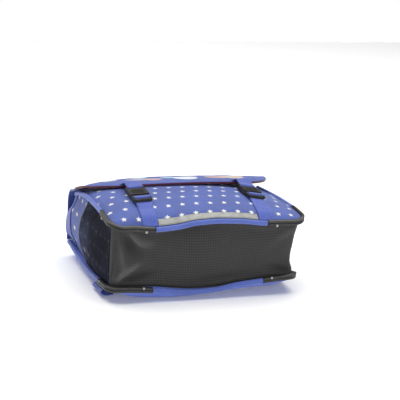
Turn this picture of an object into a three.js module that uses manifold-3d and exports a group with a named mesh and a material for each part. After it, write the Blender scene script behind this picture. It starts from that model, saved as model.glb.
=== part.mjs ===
// School ransel lying on its back, flap closed. Millimetres, +Z up.
// X runs across the bag, Y from the bottom face (near) to the top end (far), Z from back to front.
import * as THREE from 'three';
import { mergeVertices } from 'three/addons/utils/BufferGeometryUtils.js';
import Module from 'manifold-3d';

const wasm = await Module();
wasm.setup();

// Overall form
const bagWidth = 380;
const bagHeight = 300;
const bagDepth = 112;
const cornerRadius = 30;
const backEdgeLift = 26;
const backRightPull = 8;
const frontRightPull = 3;
const waveReach = 0.12;

// Cloth, padding and seams
const clothThickness = 2;
const meshThickness = 1.4;
const backPadding = 5;
const seamGap = 0.3;
const seatGap = 0.95;
const gussetInset = 10;
const gussetDip = 12;

// Edge bindings and corner guards
const bindingDepth = 6;
const bindingHeight = 9;
const guardHeight = 11;
const guardBottomLeg = 84;
const guardSideLeg = 74;
const rivetRadius = 3.2;
const rivetHeight = 2;

// Flap
const flapWidth = 376;
const flapReach = 145;
const flapGap = 5;
const flapPlace = -4;
const flapCorner = 75;
const flapTopNarrowing = 2;
const flapRollRadius = 38;
const liningThickness = 1.2;
const mouthClearance = 7;

// Webbing, buckles and reflective strip
const webbingThickness = 1.6;
const frontStrapWidth = 29;
const leftStrapPlace = -114;
const rightStrapPlace = 106;
const strapStart = 8;
const leftBuckleDrop = 97;
const rightBuckleDrop = 89;
const buckleSeat = 0.3;
const buckleWidth = 35;
const prongLength = 22;
const prongThickness = 5;
const prongReach = 20;
const socketLength = 28;
const socketHeight = 9.4;
const socketBarLength = 12;
const slotLength = 6;
const barLength = 4;
const buckleClearance = 0.4;
const flapStrapHold = 26;
const stripWidth = 11;
const stripStart = 8;
const stripThickness = 0.8;

// Side pockets
const pocketLength = 172;
const pocketBulge = 15;
const pocketHem = 5;

// Shoulder straps and handle
const padWidth = 62;
const padFoot = 129;
const padThickness = 6.4;
const padPlace = 70;
const padSplay = 10;
const backClearance = 0.5;
const harnessWidth = 25;
const harnessAnchor = 150;
const adjusterLength = 22;
const adjusterThickness = 2.6;
const tabSeamLength = 56;
const leftTabPlace = 38;
const rightTabPlace = 64;
const leftTabBulge = 7;
const rightTabBulge = 2;
const handleSpan = 110;
const handleReach = 34;
const handleWidth = 20;
const handleThickness = 4;

// Sizes that follow from those above
const halfWidth = bagWidth / 2;
const halfHeight = bagHeight / 2;
const straightHalf = halfWidth - cornerRadius;
const cornerArc = cornerRadius * Math.PI / 2;
const seamDistance = straightHalf + cornerArc;
const cornerTop = -halfHeight + cornerRadius;
const panelInset = bindingDepth + seatGap;
const rollInner = flapRollRadius - mouthClearance;
const rollStart = halfHeight - clothThickness - flapRollRadius;
const frontPanelTop = rollStart - flapGap;
const sidePanelTop = rollStart + rollInner;
const buckleLength = prongLength + socketLength + socketBarLength;
const backRest = padThickness + backClearance;

// Heights of the front over the back edge, as shares of the depth, up the bag from the bottom face
const frontProfile = [
  { along: 0.00, left: 1.00, right: 1.00, crown: 1.00 },
  { along: 0.08, left: 1.05, right: 1.04, crown: 1.18 },
  { along: 0.17, left: 1.08, right: 1.06, crown: 1.27 },
  { along: 0.26, left: 1.10, right: 1.065, crown: 1.32 },
  { along: 0.38, left: 1.11, right: 1.06, crown: 1.335 },
  { along: 0.55, left: 1.11, right: 1.04, crown: 1.31 },
  { along: 0.75, left: 1.04, right: 1.00, crown: 1.22 },
  { along: 0.90, left: 0.92, right: 0.97, crown: 1.13 },
  { along: 1.00, left: 0.86, right: 0.95, crown: 1.08 },
];

// Heights of the flap's inner face over the back edge, as shares of the depth: it is stiffer and flatter
const flapProfile = [
  { along: 0.50, left: 1.24, right: 1.22, crown: 1.31 },
  { along: 0.62, left: 1.21, right: 1.22, crown: 1.285 },
  { along: 0.75, left: 1.11, right: 1.19, crown: 1.225 },
  { along: 0.88, left: 0.97, right: 1.08, crown: 1.15 },
];

const flapSection = [
  { across: -1.00, rise: 0.00 },
  { across: -0.80, rise: 0.50 },
  { across: -0.50, rise: 0.85 },
  { across: 0.00, rise: 1.00 },
  { across: 0.50, rise: 0.85 },
  { across: 0.80, rise: 0.50 },
  { across: 1.00, rise: 0.00 },
];

// Waves of the two bottom edges between the stiff guards, as shares of the depth
const edgeWaves = [
  { across: -1.00, front: 0.00, back: 0.00 },
  { across: -0.80, front: 0.00, back: 0.00 },
  { across: -0.56, front: -0.035, back: -0.015 },
  { across: -0.35, front: -0.01, back: -0.06 },
  { across: -0.14, front: 0.05, back: -0.09 },
  { across: 0.06, front: 0.065, back: -0.085 },
  { across: 0.30, front: 0.045, back: -0.04 },
  { across: 0.56, front: 0.00, back: -0.03 },
  { across: 0.80, front: 0.00, back: 0.01 },
  { across: 1.00, front: 0.00, back: 0.05 },
];

// Sag of the two long back edges, as a share of their lift
const backEdges = [
  { along: 0.00, left: 0.00, right: 0.00 },
  { along: 0.20, left: 0.22, right: 0.10 },
  { along: 0.45, left: 0.40, right: 0.20 },
  { along: 0.70, left: 0.30, right: 0.15 },
  { along: 1.00, left: 0.00, right: 0.00 },
];

// How much of the crown each place across the front reaches: full at the left, drooping to the right
const frontSection = [
  { across: -1.00, rise: 0.00 },
  { across: -0.92, rise: 0.42 },
  { across: -0.80, rise: 0.76 },
  { across: -0.55, rise: 0.96 },
  { across: -0.20, rise: 1.00 },
  { across: 0.20, rise: 0.96 },
  { across: 0.50, rise: 0.80 },
  { across: 0.75, rise: 0.48 },
  { across: 0.90, rise: 0.20 },
  { across: 1.00, rise: 0.00 },
];

// How far the back sags from its lifted edge to its rest on the straps
const backProfile = [
  { along: 0.00, sag: 0.00, inner: 0.00 },
  { along: 0.02, sag: 0.08, inner: 0.00 },
  { along: 0.05, sag: 0.75, inner: 0.08 },
  { along: 0.10, sag: 1.00, inner: 0.60 },
  { along: 0.16, sag: 1.00, inner: 1.00 },
  { along: 0.92, sag: 1.00, inner: 1.00 },
  { along: 1.00, sag: 0.60, inner: 0.60 },
];

const backSection = [
  { across: -1.00, sag: 0.00, inner: 0.00 },
  { across: -0.96, sag: 0.05, inner: 0.00 },
  { across: -0.86, sag: 0.55, inner: 0.40 },
  { across: -0.70, sag: 0.95, inner: 0.90 },
  { across: -0.60, sag: 1.00, inner: 1.00 },
  { across: 0.60, sag: 1.00, inner: 1.00 },
  { across: 0.70, sag: 0.95, inner: 0.90 },
  { across: 0.86, sag: 0.55, inner: 0.40 },
  { across: 0.96, sag: 0.05, inner: 0.00 },
  { across: 1.00, sag: 0.00, inner: 0.00 },
];

// Soft dips and lifts of the back near its bottom edge, as shares of half the bag and of the lift
const backDents = [
  { across: -0.36, along: -0.88, reachAcross: 0.42, reachAlong: 0.09, drop: 0.23 },
  { across: 0.62, along: -0.92, reachAcross: 0.34, reachAlong: 0.12, drop: -0.26 },
];

// Folds of the gusset: along is a share of the run from the middle to the seam, dip of the gusset dip
const gussetFolds = [
  { along: -0.88, up: 0.62, reachAlong: 0.07, reachUp: 0.34, dip: 0.30 },
  { along: -0.68, up: 0.45, reachAlong: 0.12, reachUp: 0.30, dip: -0.40 },
  { along: -0.50, up: 0.66, reachAlong: 0.06, reachUp: 0.24, dip: 0.30 },
  { along: -0.05, up: 0.50, reachAlong: 0.45, reachUp: 0.34, dip: -0.40 },
  { along: 0.70, up: 0.25, reachAlong: 0.14, reachUp: 0.24, dip: 0.40 },
  { along: 0.98, up: 0.28, reachAlong: 0.20, reachUp: 0.50, dip: 1.15 },
  { along: -2.20, up: 0.56, reachAlong: 0.40, reachUp: 0.68, dip: -1.15 },
  { along: 2.20, up: 0.66, reachAlong: 0.40, reachUp: 0.50, dip: -1.20 },
];

// Colours of the materials
const material = (color, roughness, metalness = 0) =>
  new THREE.MeshStandardMaterial({ color, roughness, metalness });
const blueCloth = material(0x5163c8, 0.85);
const blueWebbing = material(0x4a62d2, 0.8);
const blackWeave = material(0x3b393b, 0.8);
const blackRubber = material(0x2a2a2c, 0.5);
const blackPlastic = material(0x34332c, 0.45);
const blackMesh = material(0x20243c, 0.9);
const redCloth = material(0x6a0c22, 0.9);
const greyReflective = material(0xa5a59b, 0.4);
const nickel = material(0xd8d8d8, 0.25, 1);

// A value between the rows of a table, on a smooth curve that never overshoots them
function lookUp(table, place, name, position) {
  const last = table.length - 1;
  const held = THREE.MathUtils.clamp(position, table[0][place], table[last][place]);
  const row = Math.min(table.findLastIndex((entry) => entry[place] <= held), last - 1);
  const start = table[row];
  const end = table[row + 1];
  const before = table[Math.max(row - 1, 0)];
  const after = table[Math.min(row + 2, last)];
  const span = end[place] - start[place];
  const share = (held - start[place]) / span;
  const slope = (from, to) => (from === to ? 0 : (to[name] - from[name]) / (to[place] - from[place]));
  const level = (first, second) => (first * second > 0 ? 2 * first * second / (first + second) : 0);
  const slopeStart = span * level(slope(before, start), slope(start, end));
  const slopeEnd = span * level(slope(start, end), slope(end, after));
  const ease = share * share * (3 - 2 * share);
  const leave = share * (1 - share) * (1 - share);
  const arrive = share * share * (share - 1);
  return start[name] + (end[name] - start[name]) * ease + slopeStart * leave + slopeEnd * arrive;
}

const easeBetween = (value, start, end) => THREE.MathUtils.smoothstep(value, start, end);
const bump = (distance) => Math.exp(-distance * distance);

// How much of an edge's wave is left at a share of the way up the bag
const waveLeft = (along) => bump(along / waveReach);

// Outer face of the front panel
function frontFace(x, y) {
  const along = (y + halfHeight) / bagHeight;
  const across = x / halfWidth;
  const side = across < 0 ? 'left' : 'right';
  const edge = lookUp(frontProfile, 'along', side, along);
  const crown = lookUp(frontProfile, 'along', 'crown', along);
  const rise = lookUp(frontSection, 'across', 'rise', across);
  const wave = lookUp(edgeWaves, 'across', 'front', across) * waveLeft(along);
  return backEdgeLift + bagDepth * (edge + (crown - edge) * rise + wave);
}

// Height of the back at a column of its sag tables, before its dents
function backLevel(x, y, column) {
  const along = (y + halfHeight) / bagHeight;
  const across = x / halfWidth;
  const side = across < 0 ? 'left' : 'right';
  const sag = lookUp(backProfile, 'along', column, along) * lookUp(backSection, 'across', column, across);
  const wave = bagDepth * lookUp(edgeWaves, 'across', 'back', across) * waveLeft(along);
  const edge = backEdgeLift * (1 - lookUp(backEdges, 'along', side, along)) + wave;
  return edge + (backRest - edge) * sag;
}

// Outer face of the back panel, the side that faces the ground
function backFace(x, y) {
  const dents = backDents.map((dent) => dent.drop
    * bump((x / halfWidth - dent.across) / dent.reachAcross)
    * bump((y / halfHeight - dent.along) / dent.reachAlong));
  const drop = dents.reduce((sum, dent) => sum + dent, 0);
  return backLevel(x, y, 'sag') - backEdgeLift * drop;
}

const backInside = (x, y) => backLevel(x, y, 'inner') + backPadding;
const frontInside = (x, y) => frontFace(x, y) - clothThickness;

// A point on the bag's outline at a distance from the middle of the bottom edge, inset from the edge
function outline(distance, inset) {
  const side = Math.sign(distance) || 1;
  const run = Math.abs(distance);
  if (run < straightHalf) {
    return { x: side * run, y: -halfHeight + inset, outX: 0, outY: -1 };
  }
  const turn = Math.min((run - straightHalf) / cornerRadius, Math.PI / 2);
  const radius = cornerRadius - inset;
  const up = Math.max(run - straightHalf - cornerArc, 0);
  return {
    x: side * (straightHalf + radius * Math.sin(turn)),
    y: cornerTop - radius * Math.cos(turn) + up,
    outX: side * Math.sin(turn),
    outY: -Math.cos(turn),
  };
}

const outlineLength = (y) => straightHalf + cornerArc + y - cornerTop;

// A plan with two rounded near corners: across runs -1 to 1, along 0 to 1 with a share for the corners
function roundedPlan(across, along, half, near, far, radius, cornerShare) {
  if (along < cornerShare) {
    const turn = along / cornerShare * Math.PI / 2;
    return {
      x: across * (half - radius + radius * Math.sin(turn)),
      y: near + radius * (1 - Math.cos(turn)),
    };
  }
  const share = (along - cornerShare) / (1 - cornerShare);
  return { x: across * half, y: near + radius + (far - near - radius) * share };
}

// A closed mesh from a placed geometry, with its faces turned outward
function closedGeometry(geometry) {
  geometry.deleteAttribute('normal');
  geometry.deleteAttribute('uv');
  const merged = mergeVertices(geometry, 1e-5);
  const index = merged.index;
  const corners = [new THREE.Vector3(), new THREE.Vector3(), new THREE.Vector3()];
  let volume = 0;
  for (let start = 0; start < index.count; start += 3) {
    corners.forEach((corner, number) => {
      corner.fromBufferAttribute(merged.attributes.position, index.getX(start + number));
    });
    volume += corners[0].dot(corners[1].cross(corners[2]));
  }
  if (volume < 0) {
    for (let start = 0; start < index.count; start += 3) {
      const second = index.getX(start + 1);
      index.setX(start + 1, index.getX(start + 2));
      index.setX(start + 2, second);
    }
  }
  merged.computeVertexNormals();
  return merged;
}

// The right side is drawn in a little, and the right of the back more
function pulled({ x, y, z }) {
  const low = 1 - easeBetween(z, backEdgeLift, backEdgeLift + bagDepth * 0.6);
  const back = backRightPull * low * easeBetween(x, halfWidth * 0.4, halfWidth);
  const whole = frontRightPull * easeBetween(x, halfWidth * 0.7, halfWidth);
  return { x: x - back - whole, y, z };
}

function moveVertices(geometry, place) {
  const position = geometry.attributes.position;
  for (let number = 0; number < position.count; number += 1) {
    const from = place(position.getX(number), position.getY(number), position.getZ(number));
    const moved = pulled(from);
    position.setXYZ(number, moved.x, moved.y, moved.z);
  }
  return closedGeometry(geometry);
}

// A bent sheet: place gives the point for shares 0 to 1 across, along and through its thickness
function sheet(columns, rows, place) {
  const block = new THREE.BoxGeometry(1, 1, 1, columns, rows, 1);
  block.translate(0.5, 0.5, 0.5);
  return moveVertices(block, place);
}

// A section swept along a run: place gives the point for the section's two sizes and a share of the run
function sweep(section, steps, place) {
  const bar = new THREE.ExtrudeGeometry(section, { depth: 1, steps, bevelEnabled: false });
  return moveVertices(bar, place);
}

const parts = new THREE.Group();

function addPart(name, geometry, finish) {
  const mesh = new THREE.Mesh(geometry, finish);
  mesh.name = name;
  parts.add(mesh);
  return mesh;
}

const sides = [
  { name: 'left', sign: -1 },
  { name: 'right', sign: 1 },
];

// Columns closer together towards both sides, where the panels bend most
const closerAtSides = (share) => Math.sin(Math.PI * (share - 0.5));

// Back and front panels
function addPanels() {
  const half = halfWidth - panelInset;
  const near = -halfHeight + panelInset;
  const radius = cornerRadius - panelInset;
  addPart('back_panel', sheet(18, 12, (across, along, through) => {
    const place = closerAtSides(across);
    const { x, y } = roundedPlan(place, along, half, near, halfHeight, radius, 0.25);
    return { x, y, z: THREE.MathUtils.lerp(backFace(x, y), backInside(x, y), through) };
  }), blueCloth);
  addPart('front_panel', sheet(22, 14, (across, along, through) => {
    const place = closerAtSides(across);
    const { x, y } = roundedPlan(place, along, half, near, frontPanelTop, radius, 0.29);
    return { x, y, z: frontInside(x, y) + clothThickness * through };
  }), blueCloth);
}

// Height at which the gusset ends under the front panel, or clear of the flap where that rolls over
function gussetTop(x, y) {
  const under = frontInside(x, y) - seatGap;
  if (y < rollStart) {
    return under;
  }
  const reach = Math.min((y - rollStart) / rollInner, 1);
  return under - rollInner * (1 - Math.sqrt(1 - reach * reach));
}

// How deep the gusset's outer face lies inside the outline
function gussetFace(distance, up) {
  const share = distance / seamDistance;
  const folds = gussetFolds.map((fold) => fold.dip
    * bump((share - fold.along) / fold.reachAlong)
    * bump((up - fold.up) / fold.reachUp));
  const dip = folds.reduce((sum, fold) => sum + fold, 0);
  const free = easeBetween(up, 0, 0.3) * easeBetween(1 - up, 0, 0.3);
  return gussetInset + gussetDip * dip * free;
}

// A point of the gusset or of a skin over it, lifted outward from its face
function gussetPoint(distance, up, lift) {
  const { x, y } = outline(distance, gussetFace(distance, up) - lift);
  const low = backInside(x, y) + seatGap;
  return { x, y, z: low + (gussetTop(x, y) - low) * up };
}

// Columns of the side gussets, shared by the skins that lie on them
const pocketEnd = -halfHeight + pocketLength;
const sideColumns = { pocket: 9, middle: 3, band: 4 };
const sideRows = 4;

function sideDistance(column) {
  const start = seamDistance + seamGap;
  const mouth = outlineLength(pocketEnd);
  const band = outlineLength(rollStart);
  const end = outlineLength(sidePanelTop);
  const { pocket, middle } = sideColumns;
  if (column <= pocket) {
    return start + (mouth - start) * column / pocket;
  }
  if (column <= pocket + middle) {
    return mouth + (band - mouth) * (column - pocket) / middle;
  }
  return band + (end - band) * (column - pocket - middle) / sideColumns.band;
}

function addGussets() {
  addPart('bottom_panel', sheet(40, 5, (across, up, through) =>
    gussetPoint(seamDistance * (across * 2 - 1), up, clothThickness * (through - 1))), blackWeave);
  const { pocket, middle, band } = sideColumns;
  const columns = pocket + middle + band;
  for (const { name, sign } of sides) {
    addPart(`side_panel_${name}`, sheet(columns, sideRows, (along, up, through) =>
      gussetPoint(sign * sideDistance(columns * along), up, clothThickness * (through - 1))), blueCloth);
    addPart(`side_band_${name}`, sheet(band, sideRows, (along, up, through) =>
      gussetPoint(sign * sideDistance(columns - band * along), up,
        seamGap + webbingThickness * through)), blueWebbing);
  }
}

// Side pockets of mesh, open towards the top end
function addPockets() {
  const { pocket } = sideColumns;
  const fullness = (along, up) => pocketBulge * Math.sin(Math.PI * up) * easeBetween(along, 0, 0.7);
  const mouth = outlineLength(pocketEnd) + seamGap;
  for (const { name, sign } of sides) {
    addPart(`mesh_pocket_${name}`, sheet(pocket, sideRows, (along, up, through) =>
      gussetPoint(sign * sideDistance(pocket * (1 - along)), up,
        seamGap + meshThickness * through + fullness(1 - along, up))), blackMesh);
    addPart(`pocket_binding_${name}`, sheet(1, sideRows, (along, up, through) =>
      gussetPoint(sign * (mouth + pocketHem * along), up,
        seamGap + clothThickness * through + fullness(1, up))), blueWebbing);
  }
}

// Rounded section of an edge binding, from the outline inward and about the edge's height
function bindingSection() {
  const section = new THREE.Shape();
  const half = bindingHeight / 2;
  const round = bindingDepth / 2;
  section.moveTo(bindingDepth, half);
  section.lineTo(round, half);
  section.absellipse(round, 0, round, half, Math.PI / 2, Math.PI * 1.5, false);
  section.lineTo(bindingDepth, -half);
  section.closePath();
  return new THREE.Shape(section.getPoints(3));
}

// Section of a corner guard with its two ridges
function guardSection() {
  const half = guardHeight / 2;
  const rows = [
    { inset: 1.00, up: -1.00 },
    { inset: 0.30, up: -1.00 },
    { inset: 0.00, up: -0.70 },
    { inset: 0.00, up: -0.40 },
    { inset: 0.20, up: -0.15 },
    { inset: 0.20, up: 0.15 },
    { inset: 0.00, up: 0.40 },
    { inset: 0.00, up: 0.70 },
    { inset: 0.30, up: 1.00 },
    { inset: 1.00, up: 1.00 },
  ];
  return new THREE.Shape(rows.map((row) => new THREE.Vector2(row.inset * bindingDepth, row.up * half)));
}

const edgeHeights = {
  front: (x, y) => frontInside(x, y) + clothThickness / 2,
  back: (x, y) => backFace(x, y) + backPadding / 2,
};

function edgePoint(face, distance, inset, up) {
  const { x, y } = outline(distance, inset);
  const middle = outline(distance, bindingDepth);
  return { x, y, z: edgeHeights[face](middle.x, middle.y) + up };
}

// Bindings round the two edges of the bag, between and above the corner guards
function addBindings() {
  const guardStart = straightHalf + cornerRadius - guardBottomLeg;
  const guardEnd = outlineLength(-halfHeight + guardSideLeg);
  const ends = { front: frontPanelTop, back: halfHeight - clothThickness - seamGap * 4 };
  for (const face of ['front', 'back']) {
    const bottom = guardStart - seamGap;
    addPart(`${face}_piping_bottom`, sweep(bindingSection(), 10, (inset, up, along) =>
      edgePoint(face, bottom * (along * 2 - 1), inset, up)), blueWebbing);
    const low = guardEnd + seamGap;
    const high = outlineLength(ends[face]);
    for (const { name, sign } of sides) {
      addPart(`${face}_piping_${name}`, sweep(bindingSection(), 10, (inset, up, along) =>
        edgePoint(face, sign * (low + (high - low) * along), inset, up)), blueWebbing);
      addPart(`corner_guard_${face}_${name}`, sweep(guardSection(), 14, (inset, up, along) =>
        edgePoint(face, sign * (guardStart + (guardEnd - guardStart) * along), inset, up)), blackRubber);
    }
  }
}

// A low domed rivet head near each end of a guard's two legs, at the guard's edge towards the gusset
function addRivets() {
  const profile = [
    new THREE.Vector2(0, 0),
    new THREE.Vector2(rivetRadius, 0),
    new THREE.Vector2(rivetRadius, rivetHeight / 2),
    new THREE.Vector2(rivetRadius / 2, rivetHeight),
    new THREE.Vector2(0, rivetHeight),
  ];
  const margin = guardHeight * 1.6;
  const towardsGusset = { front: -guardHeight * 0.37, back: guardHeight * 0.37 };
  const places = [
    straightHalf + cornerRadius - guardBottomLeg + margin,
    outlineLength(-halfHeight + guardSideLeg) - margin,
  ];
  let number = 0;
  for (const face of ['front', 'back']) {
    for (const { sign } of sides) {
      for (const place of places) {
        number += 1;
        const point = pulled(edgePoint(face, sign * place, -seamGap, towardsGusset[face]));
        const { outX, outY } = outline(sign * place, 0);
        const head = addPart(`rivet_${number}`, closedGeometry(new THREE.LatheGeometry(profile, 10)), nickel);
        head.position.set(point.x, point.y, point.z);
        head.quaternion.setFromUnitVectors(new THREE.Vector3(0, 1, 0), new THREE.Vector3(outX, outY, 0));
      }
    }
  }
}

// Inner face of the flap over the front of the bag
function flapBed(x, y) {
  const along = (y + halfHeight) / bagHeight;
  const across = x / halfWidth;
  const side = across < 0 ? 'left' : 'right';
  const edge = lookUp(flapProfile, 'along', side, along);
  const crown = lookUp(flapProfile, 'along', 'crown', along);
  const rise = lookUp(flapSection, 'across', 'rise', across);
  return backEdgeLift + bagDepth * (edge + (crown - edge) * rise) + flapGap;
}

// Flap: a plan over the front, a roll round the top end, and a run down to the back panel
const flapNear = rollStart + flapRollRadius - flapReach;
const flapRows = { cover: 10, roll: 5, fall: 2 };
const liningRows = 5;

function flapPoint(across, row, lift) {
  const half = flapWidth / 2;
  if (row <= flapRows.cover) {
    const plan = roundedPlan(across, row / flapRows.cover, half, flapNear, rollStart, flapCorner, 0.5);
    const { y } = plan;
    const x = plan.x + flapPlace;
    return { x, y, z: flapBed(x, y) + lift };
  }
  const wrapped = (row - flapRows.cover) / (flapRows.roll + flapRows.fall);
  const x = flapPlace + across * (half - flapTopNarrowing * easeBetween(wrapped, 0, 1));
  const centre = flapBed(x, rollStart) - flapRollRadius;
  if (row <= flapRows.cover + flapRows.roll) {
    const turn = (row - flapRows.cover) / flapRows.roll * Math.PI / 2;
    const radius = flapRollRadius + lift;
    return { x, y: rollStart + radius * Math.sin(turn), z: centre + radius * Math.cos(turn) };
  }
  const fall = (row - flapRows.cover - flapRows.roll) / flapRows.fall;
  const y = rollStart + flapRollRadius + lift;
  const root = backInside(x, y) + seatGap;
  return { x, y, z: centre + (root - centre) * fall };
}

function addFlap() {
  const rows = flapRows.cover + flapRows.roll + flapRows.fall;
  const columns = 20;
  addPart('flap', sheet(columns, rows, (across, along, through) =>
    flapPoint(closerAtSides(across), along * rows, clothThickness * through)), blueCloth);
  addPart('flap_lining', sheet(columns, liningRows, (across, along, through) => {
    const lift = liningThickness * (through - 1) - seamGap;
    return flapPoint(closerAtSides(1 - across), along * liningRows, lift);
  }), redCloth);
}

// Binding round the flap's free edge: up the left side, round both corners and along the front
function addFlapBinding() {
  const tall = clothThickness + liningThickness + seamGap + webbingThickness;
  const section = new THREE.Shape([
    new THREE.Vector2(seatGap, -tall),
    new THREE.Vector2(seatGap + clothThickness, -tall * 0.75),
    new THREE.Vector2(seatGap + clothThickness, -tall * 0.25),
    new THREE.Vector2(seatGap, 0),
  ]);
  const half = flapWidth / 2;
  const side = rollStart - flapNear - flapCorner;
  const front = half - flapCorner;
  const arc = flapCorner * Math.PI / 2;
  const total = front + arc + side;
  const edge = (distance, out) => {
    const sign = Math.sign(distance) || 1;
    const run = Math.abs(distance);
    const turn = THREE.MathUtils.clamp((run - front) / flapCorner, 0, Math.PI / 2);
    const radius = flapCorner + out;
    return {
      x: flapPlace + sign * (Math.min(run, front) + radius * Math.sin(turn)),
      y: flapNear + flapCorner - radius * Math.cos(turn) + Math.max(run - front - arc, 0),
    };
  };
  addPart('flap_binding', sweep(section, 40, (out, up, along) => {
    const distance = total * (along * 2 - 1);
    const { x, y } = edge(distance, out);
    const base = edge(distance, 0);
    return { x, y, z: flapBed(base.x, base.y) + clothThickness + webbingThickness / 2 + up };
  }), blueWebbing);
}

// Shares of the buckle's length at which the cloth may hold it
const buckleSupports = [0, 0.25, 0.5, 0.75, 1];

// Frame of a buckle: origin over the front face, x across, y up the bag, z off the cloth
function buckleFrame(place, buckleStart) {
  const near = -halfHeight + buckleStart;
  const far = near + buckleLength;
  const reach = buckleWidth / 2;
  const start = new THREE.Vector3(place, near, frontFace(place, near));
  const along = new THREE.Vector3(place, far, frontFace(place, far)).sub(start).normalize();
  const middle = (near + far) / 2;
  const tilt = (frontFace(place + reach, middle) - frontFace(place - reach, middle)) / buckleWidth;
  const across = new THREE.Vector3(1, 0, tilt).normalize();
  const off = new THREE.Vector3().crossVectors(across, along).normalize();
  across.crossVectors(along, off);
  // The domed cloth rises above the line between the buckle's ends, and the buckle lies on top of it
  const rises = [-reach, 0, reach].flatMap((aside) => buckleSupports.map((share) => {
    const x = place + aside;
    const y = THREE.MathUtils.lerp(near, far, share);
    return new THREE.Vector3(x, y, frontFace(x, y)).sub(start).dot(off);
  }));
  return { origin: start.addScaledVector(off, Math.max(...rises) + buckleSeat), across, along, off };
}

function placeInFrame(mesh, frame) {
  const basis = new THREE.Matrix4().makeBasis(frame.across, frame.along, frame.off);
  mesh.quaternion.setFromRotationMatrix(basis);
  mesh.position.copy(frame.origin);
}

// A strap through a buckle: rows hold a distance along the strap and a lift off its base
function strapPoint(rows, run, across, through, base) {
  const last = rows.length - 1;
  const number = Math.min(Math.floor(run * last), last - 1);
  const share = run * last - number;
  const slope = (index) => {
    const before = rows[Math.max(index - 1, 0)];
    const after = rows[Math.min(index + 1, last)];
    return new THREE.Vector2(after.along - before.along, after.lift - before.lift).normalize();
  };
  const start = slope(number);
  const end = slope(number + 1);
  const row = rows[number];
  const next = rows[number + 1];
  const lift = row.lift + (next.lift - row.lift) * share;
  const along = row.along + (next.along - row.along) * share;
  const lean = start.lerp(end, share).normalize();
  const off = webbingThickness * through;
  return base(across * frontStrapWidth / 2, along - lean.y * off, lift + lean.x * off);
}

const prongLow = webbingThickness + buckleClearance * 2;
const prongHigh = prongLow + prongThickness;
const firstSlot = barLength;
const crossBar = firstSlot + slotLength;
const secondSlot = crossBar + barLength;
const secondSlotEnd = secondSlot + slotLength;
const socketStart = prongLength + buckleClearance;
const socketBody = socketStart + socketLength;
const socketSlot = socketBody + slotLength;

function framePoint(frame, across, along, lift) {
  return frame.origin.clone()
    .addScaledVector(frame.across, across)
    .addScaledVector(frame.along, along)
    .addScaledVector(frame.off, lift);
}

// Front strap: from the bottom edge up the cloth, under the first bar and over the cross bar
function frontStrap(place, buckleStart, frame) {
  const start = strapStart - buckleStart;
  const over = prongHigh + buckleClearance;
  const round = buckleClearance * 3;
  const rows = [
    { along: start, lift: seatGap },
    { along: start * 0.75, lift: seatGap },
    { along: start * 0.5, lift: seatGap },
    { along: start * 0.25, lift: buckleClearance },
    { along: 0, lift: buckleClearance },
    { along: firstSlot + buckleClearance, lift: buckleClearance },
    { along: crossBar - slotLength * 0.4, lift: over * 0.35 },
    { along: crossBar - round, lift: over - round },
    { along: crossBar, lift: over },
    { along: secondSlot, lift: over },
    { along: secondSlot + round, lift: over - round },
    { along: secondSlot + slotLength * 0.35, lift: over * 0.45 },
  ];
  const base = (across, along, lift) => {
    const y = -halfHeight + buckleStart + along;
    const cloth = new THREE.Vector3(place + across, y, frontFace(place + across, y) + lift);
    const blend = easeBetween(along, start * 0.4, -buckleClearance);
    return cloth.lerp(framePoint(frame, across, along, lift), blend);
  };
  return sheet(2, rows.length - 1, (across, run, through) =>
    strapPoint(rows, run, across * 2 - 1, through, base));
}

// Flap strap: from the socket's bar over the flap's edge and along its outer face
function flapStrap(place, buckleStart, frame) {
  const over = socketHeight + buckleClearance;
  const round = buckleClearance * 3;
  const edge = flapNear + halfHeight - buckleStart;
  const barFar = socketStart + socketLength + socketBarLength;
  const rows = [
    { along: socketSlot - slotLength * 0.35, lift: over * 0.6 },
    { along: socketSlot - round, lift: over - round },
    { along: socketSlot, lift: over },
    { along: barFar, lift: over },
    { along: (barFar + edge) / 2, lift: over },
    { along: edge - webbingThickness * 2, lift: webbingThickness * 2 },
    { along: edge, lift: webbingThickness },
    { along: edge + flapStrapHold / 2, lift: webbingThickness },
    { along: edge + flapStrapHold, lift: webbingThickness },
  ];
  const base = (across, along, lift) => {
    const y = -halfHeight + buckleStart + along;
    const x = place + across;
    const top = flapBed(x, y) + clothThickness + lift;
    const blend = easeBetween(along, barFar, edge - webbingThickness * 2);
    return framePoint(frame, across, along, lift).lerp(new THREE.Vector3(x, y, top), blend);
  };
  return sheet(2, rows.length - 1, (across, run, through) =>
    strapPoint(rows, run, across * 2 - 1, through, base));
}

function toSolid(geometry) {
  const closed = closedGeometry(geometry);
  return new wasm.Manifold(new wasm.Mesh({
    numProp: 3,
    vertProperties: closed.attributes.position.array,
    triVerts: new Uint32Array(closed.index.array),
  }));
}

function fromSolid(solid) {
  const mesh = solid.getMesh();
  const geometry = new THREE.BufferGeometry();
  geometry.setAttribute('position', new THREE.BufferAttribute(new Float32Array(mesh.vertProperties), 3));
  geometry.setIndex(new THREE.BufferAttribute(new Uint32Array(mesh.triVerts), 1));
  geometry.computeVertexNormals();
  return geometry;
}

function slotHole(start, end) {
  const half = frontStrapWidth / 2 + buckleClearance;
  const hole = new THREE.Path();
  hole.moveTo(-half, start);
  hole.lineTo(-half, end);
  hole.lineTo(half, end);
  hole.lineTo(half, start);
  hole.closePath();
  return hole;
}

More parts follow.
